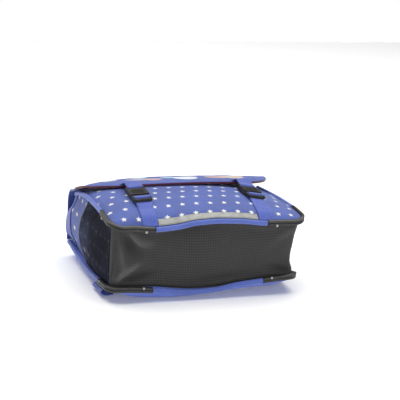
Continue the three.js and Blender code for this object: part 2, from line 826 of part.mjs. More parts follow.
// Prong half: a frame with two strap slots and two barbed arms that enter the socket
function prongGeometry() {
  const half = buckleWidth / 2;
  const wall = half - frontStrapWidth / 2 - buckleClearance;
  const armOut = half - wall - buckleClearance;
  const tip = prongLength + prongReach;
  const outlinePoints = [
    [-half, wall], [-half + wall, 0], [half - wall, 0], [half, wall],
    [half, prongLength], [armOut, prongLength], [armOut, tip - wall], [armOut - wall, tip],
    [armOut - wall * 2, tip - wall], [armOut - wall * 2, prongLength],
    [-armOut + wall * 2, prongLength], [-armOut + wall * 2, tip - wall], [-armOut + wall, tip],
    [-armOut, tip - wall], [-armOut, prongLength], [-half, prongLength],
  ];
  const shape = new THREE.Shape(outlinePoints.map(([x, y]) => new THREE.Vector2(x, y)));
  shape.holes.push(slotHole(firstSlot, crossBar), slotHole(secondSlot, secondSlotEnd - barLength / 2));
  const plate = new THREE.ExtrudeGeometry(shape, { depth: prongThickness, bevelEnabled: false });
  plate.translate(0, 0, prongLow);
  return closedGeometry(plate);
}

// Socket half: a box open towards the prongs, with a bar for the flap's strap
function socketGeometry() {
  const half = buckleWidth / 2;
  const wall = half - frontStrapWidth / 2 - buckleClearance;
  const end = socketBody + socketBarLength;
  const shape = new THREE.Shape();
  shape.moveTo(-half, socketStart);
  shape.lineTo(half, socketStart);
  shape.lineTo(half, end - wall);
  shape.lineTo(half - wall, end);
  shape.lineTo(-half + wall, end);
  shape.lineTo(-half, end - wall);
  shape.closePath();
  shape.holes.push(slotHole(socketBody, socketSlot));
  const low = buckleClearance;
  const body = new THREE.ExtrudeGeometry(shape, { depth: socketHeight - low, bevelEnabled: false });
  body.translate(0, 0, low);
  const room = buckleClearance;
  const cavityLength = prongReach + room * 2;
  const cavityHeight = prongThickness + room * 2;
  const cavity = new THREE.BoxGeometry((half - wall) * 2, cavityLength * 2, cavityHeight);
  cavity.translate(0, socketStart, prongLow + prongThickness / 2);
  return fromSolid(toSolid(body).subtract(toSolid(cavity)));
}

function addBuckledStraps() {
  const places = {
    left: { place: leftStrapPlace, start: flapNear + halfHeight - leftBuckleDrop },
    right: { place: rightStrapPlace, start: flapNear + halfHeight - rightBuckleDrop },
  };
  for (const { name } of sides) {
    const { place, start } = places[name];
    const frame = buckleFrame(place, start);
    addPart(`front_strap_${name}`, frontStrap(place, start, frame), blueWebbing);
    addPart(`flap_strap_${name}`, flapStrap(place, start, frame), blueWebbing);
    placeInFrame(addPart(`buckle_prong_${name}`, prongGeometry(), blackPlastic), frame);
    placeInFrame(addPart(`buckle_socket_${name}`, socketGeometry(), blackPlastic), frame);
  }
}

// Reflective strip along the bottom edge of the front, between the two straps
function addReflectiveStrip() {
  const gap = frontStrapWidth / 2 + seamGap * 4;
  const start = leftStrapPlace + gap;
  const end = rightStrapPlace - gap;
  addPart('reflective_strip', sheet(14, 2, (across, along, through) => {
    const x = start + (end - start) * across;
    const y = -halfHeight + stripStart + stripWidth * along;
    return { x, y, z: frontFace(x, y) + seamGap * 2 + stripThickness * through };
  }), greyReflective);
}

// Shoulder straps folded flat under the back, with webbing to tabs in the bottom corners
const padFar = halfHeight - panelInset * 3;
const padNear = -halfHeight + padFoot;
const padLength = padFar - padNear;
const padEnd = padPlace + padSplay;

function addPad(name, sign) {
  addPart(`shoulder_strap_${name}`, sheet(2, 6, (across, along, through) => {
    const centre = padEnd + (padPlace - padEnd) * along;
    return {
      x: sign * (centre + padWidth * (across - 0.5)),
      y: padNear + padLength * along,
      z: padThickness * through,
    };
  }), blueCloth);
}

// Webbing from the end of a pad, turning from the pad's edge to the line of its pull
const harnessStart = new THREE.Vector2(padEnd, padNear - seamGap);

function harnessRun(anchorY) {
  const end = new THREE.Vector2(harnessAnchor, anchorY);
  return { end, pull: end.clone().sub(harnessStart).normalize() };
}

function addHarness(name, sign, anchorY) {
  const { end, pull } = harnessRun(anchorY);
  addPart(`strap_webbing_${name}`, sheet(1, 6, (across, along, through) => {
    const off = harnessWidth * (across - 0.5);
    const turn = easeBetween(along, 0, 0.4);
    const point = harnessStart.clone().lerp(end, along);
    const crossX = 1 - turn - pull.y * turn;
    const crossY = pull.x * turn;
    return {
      x: sign * (point.x + off * crossX),
      y: point.y + off * crossY,
      z: seamGap + webbingThickness * through,
    };
  }), blueWebbing);
}

// A ladder lock flat on the webbing, with one slot
function addAdjuster(name, sign, anchorY) {
  const half = harnessWidth / 2;
  const wall = barLength;
  const plate = new THREE.Shape();
  plate.moveTo(-half - wall, 0);
  plate.lineTo(half + wall, 0);
  plate.lineTo(half + wall, adjusterLength);
  plate.lineTo(-half - wall, adjusterLength);
  plate.closePath();
  const slot = new THREE.Path();
  slot.moveTo(-half, wall);
  slot.lineTo(-half, adjusterLength - wall);
  slot.lineTo(half, adjusterLength - wall);
  slot.lineTo(half, wall);
  slot.closePath();
  plate.holes.push(slot);
  const frame = new THREE.ExtrudeGeometry(plate, { depth: adjusterThickness, bevelEnabled: false });
  const lock = addPart(`strap_adjuster_${name}`, closedGeometry(frame), blackPlastic);
  const { end, pull } = harnessRun(anchorY);
  const middle = harnessStart.clone().lerp(end, 0.5);
  const place = pulled({ x: sign * middle.x, y: middle.y, z: webbingThickness + seamGap * 2 });
  lock.position.set(place.x, place.y, place.z);
  lock.rotation.z = -sign * Math.atan2(pull.x, pull.y);
}

// A tab from the webbing on the ground, out and up to the seam under the back binding
function addTab(name, sign, anchorY, bulge) {
  const seamX = halfWidth - bindingDepth / 2;
  const footX = harnessAnchor + harnessWidth / 2 + seamGap;
  addPart(`strap_tab_${name}`, sheet(3, 10, (across, along, through) => {
    const width = harnessWidth + (tabSeamLength - harnessWidth) * easeBetween(along, 0, 0.6);
    const y = anchorY + width * (across - 0.5);
    const seamHeight = edgeHeights.back(sign * seamX, y) - guardHeight / 2 - seatGap - clothThickness;
    const turn = along * Math.PI / 2;
    const out = Math.sin(turn) * (1 - through * clothThickness / (seamX - footX));
    const belly = bulge * Math.sin(Math.PI * along * along);
    const rise = (seamHeight - seamGap) * (1 - Math.cos(turn));
    return {
      x: sign * (footX + (seamX - footX) * out + belly),
      y,
      z: seamGap + rise + clothThickness * through,
    };
  }), blueWebbing);
}

// Carry handle: a loop of webbing on edge at the top end
function addHandle() {
  const half = handleThickness / 2;
  const section = new THREE.Shape([
    new THREE.Vector2(-half, 0),
    new THREE.Vector2(half, 0),
    new THREE.Vector2(half, handleWidth),
    new THREE.Vector2(-half, handleWidth),
  ]);
  const reach = handleReach - half;
  const foot = halfHeight + seamGap;
  addPart('handle', sweep(section, 14, (out, up, along) => ({
    x: -(handleSpan / 2 + out) * Math.cos(Math.PI * along),
    y: foot + (reach + out) * Math.sin(Math.PI * along),
    z: seatGap + up,
  })), blueWebbing);
}

addPanels();
addGussets();
addPockets();
addBindings();
addRivets();
addFlap();
addFlapBinding();
addBuckledStraps();
addReflectiveStrip();
const tabs = {
  left: { anchorY: cornerTop + leftTabPlace, bulge: leftTabBulge },
  right: { anchorY: cornerTop + rightTabPlace, bulge: rightTabBulge },
};
for (const { name, sign } of sides) {
  const { anchorY, bulge } = tabs[name];
  addPad(name, sign);
  addHarness(name, sign, anchorY);
  addAdjuster(name, sign, anchorY);
  addTab(name, sign, anchorY, bulge);
}
addHandle();

// The bag stands on the ground with the middle of its box over the origin
const box = new THREE.Box3().setFromObject(parts, true);
const middle = box.getCenter(new THREE.Vector3());
parts.position.set(-middle.x, -middle.y, -box.min.z);

const ransel = new THREE.Group();
ransel.add(parts);

export default ransel;
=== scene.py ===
"""School ransel lying on its back: soft bag, buckled flap, ridged corner guards and straps beneath."""
import math

import bmesh
import bpy
import numpy as np
from mathutils import Matrix, Vector


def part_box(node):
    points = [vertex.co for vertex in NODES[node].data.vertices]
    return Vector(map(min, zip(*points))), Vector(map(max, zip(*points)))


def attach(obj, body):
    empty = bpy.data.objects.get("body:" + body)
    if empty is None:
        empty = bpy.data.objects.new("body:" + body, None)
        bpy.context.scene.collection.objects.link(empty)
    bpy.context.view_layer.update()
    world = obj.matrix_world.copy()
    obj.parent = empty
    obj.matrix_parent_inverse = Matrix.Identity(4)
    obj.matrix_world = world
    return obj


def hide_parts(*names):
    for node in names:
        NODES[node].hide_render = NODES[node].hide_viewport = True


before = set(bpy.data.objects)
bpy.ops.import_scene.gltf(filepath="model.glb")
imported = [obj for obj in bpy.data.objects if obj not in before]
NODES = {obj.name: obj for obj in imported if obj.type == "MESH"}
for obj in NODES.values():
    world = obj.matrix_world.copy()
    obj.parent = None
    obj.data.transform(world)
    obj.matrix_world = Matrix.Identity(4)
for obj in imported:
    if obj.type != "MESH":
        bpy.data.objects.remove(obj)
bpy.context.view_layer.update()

# Sizes of the bag in millimetres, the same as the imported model's
MM = 0.001
BAG_WIDTH, BAG_HEIGHT, BAG_DEPTH = 380, 300, 112
CORNER_RADIUS = 30
BACK_LIFT = 26
BACK_RIGHT_PULL, FRONT_RIGHT_PULL = 8, 3
WAVE_REACH = 0.12
CLOTH, MESH, LINING, WEBBING = 2.0, 1.4, 1.2, 1.6
BACK_PADDING = 5
SEAM_GAP, SEAT_GAP = 0.3, 0.95
GUSSET_INSET, GUSSET_DIP = 10, 12
BINDING_DEPTH, BINDING_HEIGHT, GUARD_HEIGHT = 6, 9, 11
GUARD_BOTTOM_LEG, GUARD_SIDE_LEG = 84, 74
HEM_THICK = 0.7
RIVET_RADIUS, RIVET_HEIGHT = 2.5, 1.6
FLAP_WIDTH, FLAP_REACH, FLAP_GAP, FLAP_PLACE = 376, 145, 5, -4
FLAP_CORNER, FLAP_NARROWING, FLAP_ROLL = 75, 2, 38
MOUTH_CLEARANCE = 7
STRAP_WIDTH = 29
STRAP_START = 8
# place across the bag, start of the buckle up from the bottom
STRAPS = {"left": (-114, 56), "right": (106, 64)}
BUCKLE_SEAT, BUCKLE_WIDTH = 0.3, 35
PRONG_LENGTH, PRONG_THICK = 22, 5
SOCKET_LENGTH, SOCKET_HEIGHT, SOCKET_BAR = 28, 9.4, 12
SLOT, BAR, BUCKLE_CLEARANCE = 6, 4, 0.4
FLAP_STRAP_HOLD = 13
STRIP_WIDTH, STRIP_START, STRIP_THICK = 8.4, 9.2, 0.8
POCKET_LENGTH, POCKET_BULGE, POCKET_HEM = 172, 15, 5
PAD_WIDTH, PAD_LENGTH, PAD_THICK, PAD_PLACE, PAD_SPLAY = 62, 150, 6.4, 70, 10
BACK_CLEARANCE = 0.5
HARNESS_WIDTH, HARNESS_ANCHOR = 25, 150
TAB_SEAM, TAB_CLOTH = 56, 35
HANDLE_SPAN, HANDLE_REACH, HANDLE_WIDTH, HANDLE_THICK = 110, 34, 20, 4
# Small ripples of the cloth, and the rows of thread stitches with their distance from the edges
FRONT_RIPPLE, FLAP_RIPPLE, GUSSET_RIPPLE = 0.5, 0.7, 0.9
FRONT_SEED, FLAP_SEED, GUSSET_SEED = 3, 11, 5
FRONT_SPREAD, GUSSET_SPREAD = 24, 26
# Distances from the seams and from the flap's edge over which the front's ripples grow
FREE_FROM, FREE_FULL, FREE_UNDER_FLAP = 2, 30, 60
STITCH_PITCH, STITCH_LENGTH, STITCH_RADIUS = 3.4, 2.244, 0.32
FLAP_STITCH_IN, STRAP_STITCH_IN, STRIP_STITCH_IN, PAD_STITCH_IN = 4.5, 2.4, 1.3, 8
# The stitched channels of a shoulder pad, as a share of its half width
PAD_CHANNEL = 0.62

HALF_WIDTH, HALF_HEIGHT = BAG_WIDTH / 2, BAG_HEIGHT / 2
STRAIGHT_HALF = HALF_WIDTH - CORNER_RADIUS
CORNER_ARC = CORNER_RADIUS * math.pi / 2
SEAM = STRAIGHT_HALF + CORNER_ARC
CORNER_TOP = -HALF_HEIGHT + CORNER_RADIUS
PANEL_INSET = BINDING_DEPTH + SEAT_GAP
ROLL_INNER = FLAP_ROLL - MOUTH_CLEARANCE
ROLL_START = HALF_HEIGHT - CLOTH - FLAP_ROLL
FRONT_TOP = ROLL_START - FLAP_GAP
SIDE_TOP = ROLL_START + ROLL_INNER
BUCKLE_LENGTH = PRONG_LENGTH + SOCKET_LENGTH + SOCKET_BAR
BACK_REST = PAD_THICK + BACK_CLEARANCE
FLAP_NEAR = ROLL_START + FLAP_ROLL - FLAP_REACH
PAD_FAR = HALF_HEIGHT - PANEL_INSET * 3
PAD_NEAR = PAD_FAR - PAD_LENGTH
PAD_END = PAD_PLACE + PAD_SPLAY
# place of a tab's foot up the bag, bulge
TABS = {"left": (CORNER_TOP + 38, 7), "right": (CORNER_TOP + 64, 2)}
SIDES = (("left", -1), ("right", 1))

# The model's box is centred on the origin, so the bag's own middle is found from its handle
HANDLE_LOW, HANDLE_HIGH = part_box("handle")
SHIFT = np.array([
    (HANDLE_LOW.x + HANDLE_HIGH.x) / 2 / MM,
    HANDLE_LOW.y / MM - HALF_HEIGHT - SEAM_GAP,
    0.0,
])

# Heights of the front over the back edge, as shares of the depth, up the bag from the bottom face
FRONT_PROFILE = {
    "along": (0, .08, .17, .26, .38, .55, .75, .90, 1),
    "left": (1, 1.05, 1.08, 1.10, 1.11, 1.11, 1.04, .92, .86),
    "right": (1, 1.04, 1.06, 1.065, 1.06, 1.04, 1, .97, .95),
    "crown": (1, 1.18, 1.27, 1.32, 1.335, 1.31, 1.22, 1.13, 1.08),
}
FLAP_PROFILE = {
    "along": (.50, .62, .75, .88),
    "left": (1.24, 1.21, 1.11, .97),
    "right": (1.22, 1.22, 1.19, 1.08),
    "crown": (1.31, 1.285, 1.225, 1.15),
}
FLAP_SECTION = {"across": (-1, -.8, -.5, 0, .5, .8, 1), "rise": (0, .5, .85, 1, .85, .5, 0)}
EDGE_WAVES = {
    "across": (-1, -.8, -.56, -.35, -.14, .06, .3, .56, .8, 1),
    "front": (0, 0, -.035, -.01, .05, .065, .045, 0, 0, 0),
    "back": (0, 0, -.015, -.06, -.09, -.085, -.04, -.03, .01, .05),
}
BACK_EDGES = {
    "along": (0, .2, .45, .7, 1), "left": (0, .22, .4, .3, 0), "right": (0, .1, .2, .15, 0),
}
FRONT_SECTION = {
    "across": (-1, -.92, -.8, -.55, -.2, .2, .5, .75, .9, 1),
    "rise": (0, .42, .76, .96, 1, .96, .8, .48, .2, 0),
}
BACK_PROFILE = {
    "along": (0, .02, .05, .1, .16, .92, 1),
    "sag": (0, .08, .75, 1, 1, 1, .6),
    "inner": (0, 0, .08, .6, 1, 1, .6),
}
BACK_SECTION = {
    "across": (-1, -.96, -.86, -.7, -.6, .6, .7, .86, .96, 1),
    "sag": (0, .05, .55, .95, 1, 1, .95, .55, .05, 0),
    "inner": (0, 0, .4, .9, 1, 1, .9, .4, 0, 0),
}
# across, along, reach across, reach along, drop
BACK_DENTS = ((-.36, -.88, .42, .09, .23), (.62, -.92, .34, .12, -.26))
# along, up, reach along, reach up, dip
GUSSET_FOLDS = (
    (-.88, .62, .07, .34, .3), (-.68, .45, .12, .3, -.4), (-.5, .66, .06, .24, .3),
    (-.05, .5, .45, .34, -.4), (.7, .25, .14, .24, .4), (.98, .28, .2, .5, 1.15),
    (-2.2, .56, .4, .68, -1.15), (2.2, .66, .4, .5, -1.2),
)


def ease(value, start, end):
    share = np.clip((np.asarray(value, float) - start) / (end - start), 0, 1)
    return share * share * (3 - 2 * share)


def bump(distance):
    return np.exp(-np.square(distance))


def look_up(table, column, position):
    """A value between the rows of a table, on a smooth curve that never overshoots them.

    The table's first column holds the places."""
    places, values = (np.array(table[name], float) for name in (next(iter(table)), column))
    held = np.clip(position, places[0], places[-1])
    row = np.clip(np.searchsorted(places, held, side="right") - 1, 0, len(places) - 2)
    slopes = np.concatenate([[0], np.diff(values) / np.diff(places), [0]])
    product = slopes[:-1] * slopes[1:]
    total = slopes[:-1] + slopes[1:]
    level = np.where(product > 0, 2 * product / np.where(total == 0, 1, total), 0)
    span = places[row + 1] - places[row]
    share = (held - places[row]) / span
    rise = ease(share, 0, 1)
    return (values[row] + (values[row + 1] - values[row]) * rise
            + span * level[row] * share * (1 - share) ** 2
            + span * level[row + 1] * share * share * (share - 1))


def shares(x, y):
    """A place up the bag as a share of its height, and across it as a share of half its width."""
    return (y + HALF_HEIGHT) / BAG_HEIGHT, x / HALF_WIDTH


def by_side(table, along, across):
    return np.where(across < 0, look_up(table, "left", along), look_up(table, "right", along))


def dome(profile, section, x, y):
    """Height over the back edge as a share of the depth, between a face's side edges and its crown."""
    along, across = shares(x, y)
    edge = by_side(profile, along, across)
    return edge + (look_up(profile, "crown", along) - edge) * look_up(section, "rise", across)


def edge_wave(column, x, y):
    along, across = shares(x, y)
    return look_up(EDGE_WAVES, column, across) * bump(along / WAVE_REACH)


def front_face(x, y):
    return BACK_LIFT + BAG_DEPTH * (dome(FRONT_PROFILE, FRONT_SECTION, x, y) + edge_wave("front", x, y))


def front_inside(x, y):
    return front_face(x, y) - CLOTH


def back_level(x, y, column):
    along, across = shares(x, y)
    sag = look_up(BACK_PROFILE, column, along) * look_up(BACK_SECTION, column, across)
    edge = BACK_LIFT * (1 - by_side(BACK_EDGES, along, across)) + BAG_DEPTH * edge_wave("back", x, y)
    return edge + (BACK_REST - edge) * sag


def back_face(x, y):
    level = back_level(x, y, "sag")
    for across, along, reach_across, reach_along, drop in BACK_DENTS:
        level = level - (BACK_LIFT * drop * bump((x / HALF_WIDTH - across) / reach_across)
                         * bump((y / HALF_HEIGHT - along) / reach_along))
    return level


def back_inside(x, y):
    return back_level(x, y, "inner") + BACK_PADDING


def flap_bed(x, y):
    return BACK_LIFT + BAG_DEPTH * dome(FLAP_PROFILE, FLAP_SECTION, x, y) + FLAP_GAP


def outline(distance, inset):
    """A point on the bag's outline at a distance from the middle of the bottom edge."""
    distance = np.asarray(distance, float)
    side = np.where(distance < 0, -1.0, 1.0)
    run = np.abs(distance)
    turn = np.clip((run - STRAIGHT_HALF) / CORNER_RADIUS, 0, math.pi / 2)
    radius = CORNER_RADIUS - inset
    up = np.maximum(run - STRAIGHT_HALF - CORNER_ARC, 0)
    straight = run < STRAIGHT_HALF
    x = np.where(straight, run, STRAIGHT_HALF + radius * np.sin(turn))
    y = np.where(straight, -HALF_HEIGHT + inset, CORNER_TOP - radius * np.cos(turn) + up)
    return side * x, y, side * np.where(straight, 0, np.sin(turn)), np.where(straight, -1, -np.cos(turn))


def outline_length(y):
    return STRAIGHT_HALF + CORNER_ARC + y - CORNER_TOP


def rounded_plan(across, along, half, near, far, radius, corner_share):
    turn = np.clip(along / corner_share, 0, 1) * math.pi / 2
    share = np.clip((along - corner_share) / (1 - corner_share), 0, 1)
    x = across * (half - radius + radius * np.sin(turn))
    y = near + radius * (1 - np.cos(turn)) + (far - near - radius) * share
    return x, y


def gusset_top(x, y):
    under = front_inside(x, y) - SEAT_GAP
    reach = np.clip((y - ROLL_START) / ROLL_INNER, 0, 1)
    return under - ROLL_INNER * (1 - np.sqrt(1 - reach * reach))


def gusset_face(distance, up):
    share = distance / SEAM
    dip = 0
    for along, height, reach_along, reach_up, depth in GUSSET_FOLDS:
        dip = dip + depth * bump((share - along) / reach_along) * bump((up - height) / reach_up)
    return GUSSET_INSET + GUSSET_DIP * dip * ease(up, 0, 0.3) * ease(1 - up, 0, 0.3)


def gusset_point(distance, up, lift):
    x, y, _, _ = outline(distance, gusset_face(distance, up) - lift)
    low = back_inside(x, y) + SEAT_GAP
    return x, y, low + (gusset_top(x, y) - low) * up


def settled(points):
    """The bag's small lean: the right side drawn in, more at the back. Then metres round the origin."""
    x, z = points[..., 0], points[..., 2]
    low = 1 - ease(z, BACK_LIFT, BACK_LIFT + BAG_DEPTH * 0.6)
    back = BACK_RIGHT_PULL * low * ease(x, HALF_WIDTH * 0.4, HALF_WIDTH)
    whole = FRONT_RIGHT_PULL * ease(x, HALF_WIDTH * 0.7, HALF_WIDTH)
    moved = points.copy()
    moved[..., 0] = x - back - whole
    return (moved + SHIFT) * MM


def grid(columns, rows):
    return np.meshgrid(np.linspace(0, 1, columns + 1), np.linspace(0, 1, rows + 1), indexing="ij")


def stack(x, y, z):
    return np.stack(np.broadcast_arrays(x, y, z), -1).astype(float)


def lengths(points):
    """Distance of each point of a track, or of each column of a sheet, from its first point."""
    steps = np.linalg.norm(np.diff(points, axis=-2), axis=-1)
    return np.concatenate([np.zeros_like(steps[..., :1]), np.cumsum(steps, -1)], -1)


def cloth_uv(x, y):
    return np.stack([x, y], -1) * MM


def circle(count):
    return np.linspace(0, math.tau, count, endpoint=False)


def squared(value, power):
    """A sine or cosine with its curve pushed out toward a square's."""
    return np.sign(value) * np.abs(value) ** power


def link(name, data):
    obj = bpy.data.objects.new(name, data)
    bpy.context.scene.collection.objects.link(obj)
    return obj


def new_object(name, vertices, faces, material, uvs=None):
    """A mesh piece, its normals turned outward. uvs holds one pair for each vertex."""
    mesh = bpy.data.meshes.new(name)
    mesh.from_pydata([tuple(v) for v in vertices], [], [tuple(int(i) for i in f) for f in faces])
    if uvs is not None:
        layer = mesh.uv_layers.new(name="cloth")
        corners = np.zeros(len(mesh.loops), int)
        mesh.loops.foreach_get("vertex_index", corners)
        layer.data.foreach_set("uv", np.asarray(uvs, np.float32)[corners].ravel())
    mesh.polygons.foreach_set("use_smooth", [True] * len(mesh.polygons))
    mesh.materials.append(material)
    mesh.validate()
    obj = link(name, mesh)
    turn_outward(obj)
    return obj


def turn_outward(obj):
    shape = bmesh.new()
    shape.from_mesh(obj.data)
    bmesh.ops.recalc_face_normals(shape, faces=shape.faces)
    if shape.calc_volume(signed=True) < 0:
        bmesh.ops.reverse_faces(shape, faces=shape.faces)
    shape.to_mesh(obj.data)
    shape.free()


def finish_piece(obj, nodes=()):
    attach(obj, "root")
    if nodes:
        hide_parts(*nodes)
    return obj


def sheet_faces(columns, rows):
    """Faces of a closed sheet: its outer grid of points, its inner one and the rim between them."""
    count = (columns + 1) * (rows + 1)
    index = np.arange(count).reshape(columns + 1, rows + 1)
    quads = np.stack([index[:-1, :-1], index[1:, :-1], index[1:, 1:], index[:-1, 1:]], -1).reshape(-1, 4)
    rim = np.concatenate([index[:, 0], index[-1, 1:], index[-2::-1, -1], index[0, -2:0:-1]])
    follow = np.roll(rim, -1)
    sides = np.stack([rim, rim + count, follow + count, follow], -1)
    return np.concatenate([quads, quads[:, ::-1] + count, sides])


def cloth_lengths(points):
    """Widest and longest run over the cloth and its area, in metres, as it was cut before bending."""
    wide = np.linalg.norm(np.diff(points, axis=0), axis=-1).sum(0).max()
    long = np.linalg.norm(np.diff(points, axis=1), axis=-1).sum(1).max()
    across, along = points[1:, :-1] - points[:-1, :-1], points[:-1, 1:] - points[:-1, :-1]
    area = np.linalg.norm(np.cross(across, along), axis=-1).sum()
    return float(wide), float(long), float(area)


def skin(name, outer, inner, material, uv, slot, nodes, held=None, rests_on=()):
    """A closed sheet between two grids of points in bag millimetres; where held, its cloth lengths and area
    are worked out.
    """
    outer, inner = settled(outer), settled(inner)
    vertices = np.concatenate([outer.reshape(-1, 3), inner.reshape(-1, 3)])
    uvs = np.concatenate([uv.reshape(-1, 2)] * 2)
    faces = sheet_faces(outer.shape[0] - 1, outer.shape[1] - 1)
    obj = finish_piece(new_object(name, vertices, faces, material, uvs), nodes)
    if held:
        wide, long, area = cloth_lengths(outer)
    return obj


def bar_faces(steps, around, start=0, caps=True):
    """Faces of a bar through rings of points that are numbered from start, with its two ends."""
    faces, last = [], start + (steps - 1) * around
    for low in range(start, last, around):
        for first in range(around):
            second = (first + 1) % around
            faces.append((low + first, low + second, low + around + second, low + around + first))
    ends = [tuple(range(start, start + around))[::-1], tuple(range(last, last + around))]
    return faces + ends if caps else faces


def bar(name, rings, run, turn, material, nodes):
    """A closed bar through rings of points in metres, with run and turn as its cloth coordinates."""
    uvs = np.stack(np.meshgrid(run, turn, indexing="ij"), -1).reshape(-1, 2)
    shape = new_object(name, rings.reshape(-1, 3), bar_faces(*rings.shape[:2]), material, uvs)
    finish_piece(shape, nodes)


def sweep(name, rings, material, nodes, rounded=True):
    """A closed bar through rings of points in bag millimetres."""
    rings = settled(np.asarray(rings))
    if rounded:
        rings = rounded_ends(rings)
    turn = np.linspace(0, 1, rings.shape[1], endpoint=False)
    bar(name, rings, lengths(rings.mean(1)), turn, material, nodes)


def unit(vector):
    return vector / np.linalg.norm(vector)


def rounded_ends(rings):
    """Draws the first and last ring together a little, so that the cut ends aren't sharp."""
    out = []
    for ring, inward in ((rings[0], rings[1]), (rings[-1], rings[-2])):
        middle = ring.mean(0)
        step = unit(inward.mean(0) - middle)
        size = np.linalg.norm(ring - middle, axis=1).max() * 0.22
        shape = [middle + (ring - middle) * s + step * size * d
                 for s, d in ((0.62, 0.0), (0.86, 0.12), (0.97, 0.45), (1.0, 1.0))]
        out.append(shape)
    return np.array(out[0] + list(rings[1:-1]) + out[1][::-1])


def noise(u, v, seed):
    """Smooth random waves of about -1 to 1 over a surface, the same on each run."""
    random = np.random.default_rng(seed)
    total, size = 0, 1.0
    for octave in range(3):
        for _ in range(4):
            angle, phase = random.uniform(0, math.tau, 2)
            pitch = 2.0 ** octave
            total = total + size * np.sin(pitch * (u * math.cos(angle) + v * math.sin(angle)) + phase)
        size *= 0.5
    return total / 4


# Materials
class Value:
    """An output in a material's node tree, so that sums of outputs can be written as sums."""

    def __init__(self, graph, socket):
        self.graph, self.socket = graph, socket

    def __add__(self, other):
        return self.graph.math("ADD", self, other)

    def __sub__(self, other):
        return self.graph.math("SUBTRACT", self, other)

    def __rsub__(self, other):
        return self.graph.math("SUBTRACT", other, self)

    def __mul__(self, other):
        return self.graph.math("MULTIPLY", self, other)

    def __truediv__(self, other):
        return self.graph.math("DIVIDE", self, other)

    def __abs__(self):
        return self.graph.math("ABSOLUTE", self)


class Graph:
    """One material, with short calls for its nodes."""

    def __init__(self, name, color, roughness, sheen=0.0, metallic=0.0, specular=0.5, emission=0.0):
        self.material = bpy.data.materials.new(name)
        self.material.use_nodes = True
        self.tree = self.material.node_tree
        self.shader = self.tree.nodes["Principled BSDF"]
        self.fill(self.shader, {
            "Base Color": color, "Roughness": roughness, "Metallic": metallic,
            "Specular IOR Level": specular, "Sheen Weight": sheen, "Sheen Roughness": 0.5,
            "Emission Color": (1, 1, 1), "Emission Strength": emission,
        })

    def fill(self, node, inputs):
        for name, value in inputs.items():
            if isinstance(value, Value):
                self.tree.links.new(value.socket, node.inputs[name])
            elif value is not None:
                node.inputs[name].default_value = (*value, 1) if isinstance(value, tuple) else value

    def node(self, kind, inputs=(), output=0, **settings):
        made = self.tree.nodes.new(kind)
        for name, value in settings.items():
            setattr(made, name, value)
        self.fill(made, dict(inputs))
        return Value(self, made.outputs[output])

    def math(self, operation, *values):
        return self.node("ShaderNodeMath", enumerate(values), operation=operation)

    def mix(self, share, first, second):
        return self.node("ShaderNodeMix", {0: share, 6: first, 7: second}, 2, data_type="RGBA")

    def uv(self):
        whole = self.node("ShaderNodeUVMap", uv_map="cloth")
        return [self.node("ShaderNodeSeparateXYZ", {0: whole}, axis) for axis in (0, 1)]

    def cloud(self, scale, detail):
        place = self.node("ShaderNodeTexCoord", output="Object")
        return self.node("ShaderNodeTexNoise", {"Vector": place, "Scale": scale, "Detail": detail})

    def wave(self, value, pitch):
        return self.math("SINE", value * (math.tau / pitch))

    def distance(self, x, y):
        return self.math("SQRT", x * x + y * y)

    def bump(self, height, strength, distance, under=None):
        return self.node("ShaderNodeBump", {"Strength": strength, "Distance": distance, "Height": height,
                                            "Normal": under})

    def puckers(self):
        return self.bump(self.cloud(38, 5), 0.25, 0.004)

    def step(self, value, low, high):
        return self.node("ShaderNodeMapRange", {0: value, 1: low, 2: high},
                         interpolation_type="SMOOTHSTEP")

    def finish(self, color=None, normal=None, roughness=None, alpha=None):
        self.fill(self.shader, {"Base Color": color, "Normal": normal, "Roughness": roughness,
                                "Alpha": alpha})
        return self.material


def shade(color, factor):
    return tuple(min(1.0, channel * factor) for channel in color)


BLUE = (0.046, 0.086, 0.345)
CREAM = (0.80, 0.79, 0.76)
# Metres of cloth between the stars across and along, where one of them lies, and their slant
STAR_PITCH, STAR_MIDDLE, STAR_SKEW = (0.0267, 0.02975), (-0.0055, 0.01805), 0.322
STAR_RADIUS, STAR_VALLEY, STAR_EDGE = 0.0058, 0.45, 0.0002
# Half a cell more than a whole number, so that no cell of the cloth has a number under nought
STAR_CELLS = 20.5
THREAD_PITCH, DYE = 0.0011, 0.12
CYAN, WHITE, PEACH = (0.42, 0.66, 0.72), (0.74, 0.80, 0.82), (0.55, 0.36, 0.34)
SAND, LILAC = (0.62, 0.50, 0.38), (0.42, 0.36, 0.50)
# across, along from the middle of the flap's near edge, radius, colour
FLAP_DOTS = (
    (-0.078, 0.062, 0.024, LILAC), (-0.052, 0.048, 0.017, PEACH), (-0.004, 0.080, 0.026, CYAN),
    (0.014, 0.052, 0.024, WHITE), (0.080, 0.060, 0.025, PEACH), (0.110, 0.052, 0.022, SAND),
    (0.140, 0.100, 0.018, CYAN), (-0.120, 0.100, 0.018, WHITE), (-0.060, 0.125, 0.020, CYAN),
    (0.040, 0.126, 0.023, LILAC), (0.092, 0.132, 0.018, WHITE), (-0.138, 0.140, 0.012, SAND),
)
DOT_EDGE = 0.0006
CHECK_PITCH = (0.0090, 0.0098)
# Painted highlight on the black gusset's outward folds, and painted shade in its inward creases
FOLD_HIGHLIGHT, CREASE_SHADE = (0.12, 0.118, 0.115), (0.004, 0.004, 0.004)
NET_PITCH, BEAD_PITCH = 0.0042, 0.0016


def woven(graph, base, depth=0.0002, pitch=THREAD_PITCH):
    """Over-and-under threads of a plain weave, with a slightly uneven dye. Returns colour and normal."""
    u, v = graph.uv()
    threads = graph.wave(u, pitch) * graph.wave(v, pitch)
    uneven = graph.step(graph.cloud(26, 4), 0.35, 0.65)
    tone = graph.mix(uneven, shade(base, 1 - DYE), shade(base, 1 + DYE))
    tone = graph.mix(graph.step(threads, -1, 1), tone, graph.mix(0.5, tone, shade(base, 1.25)))
    return tone, graph.bump(threads, 0.5, depth, graph.puckers())


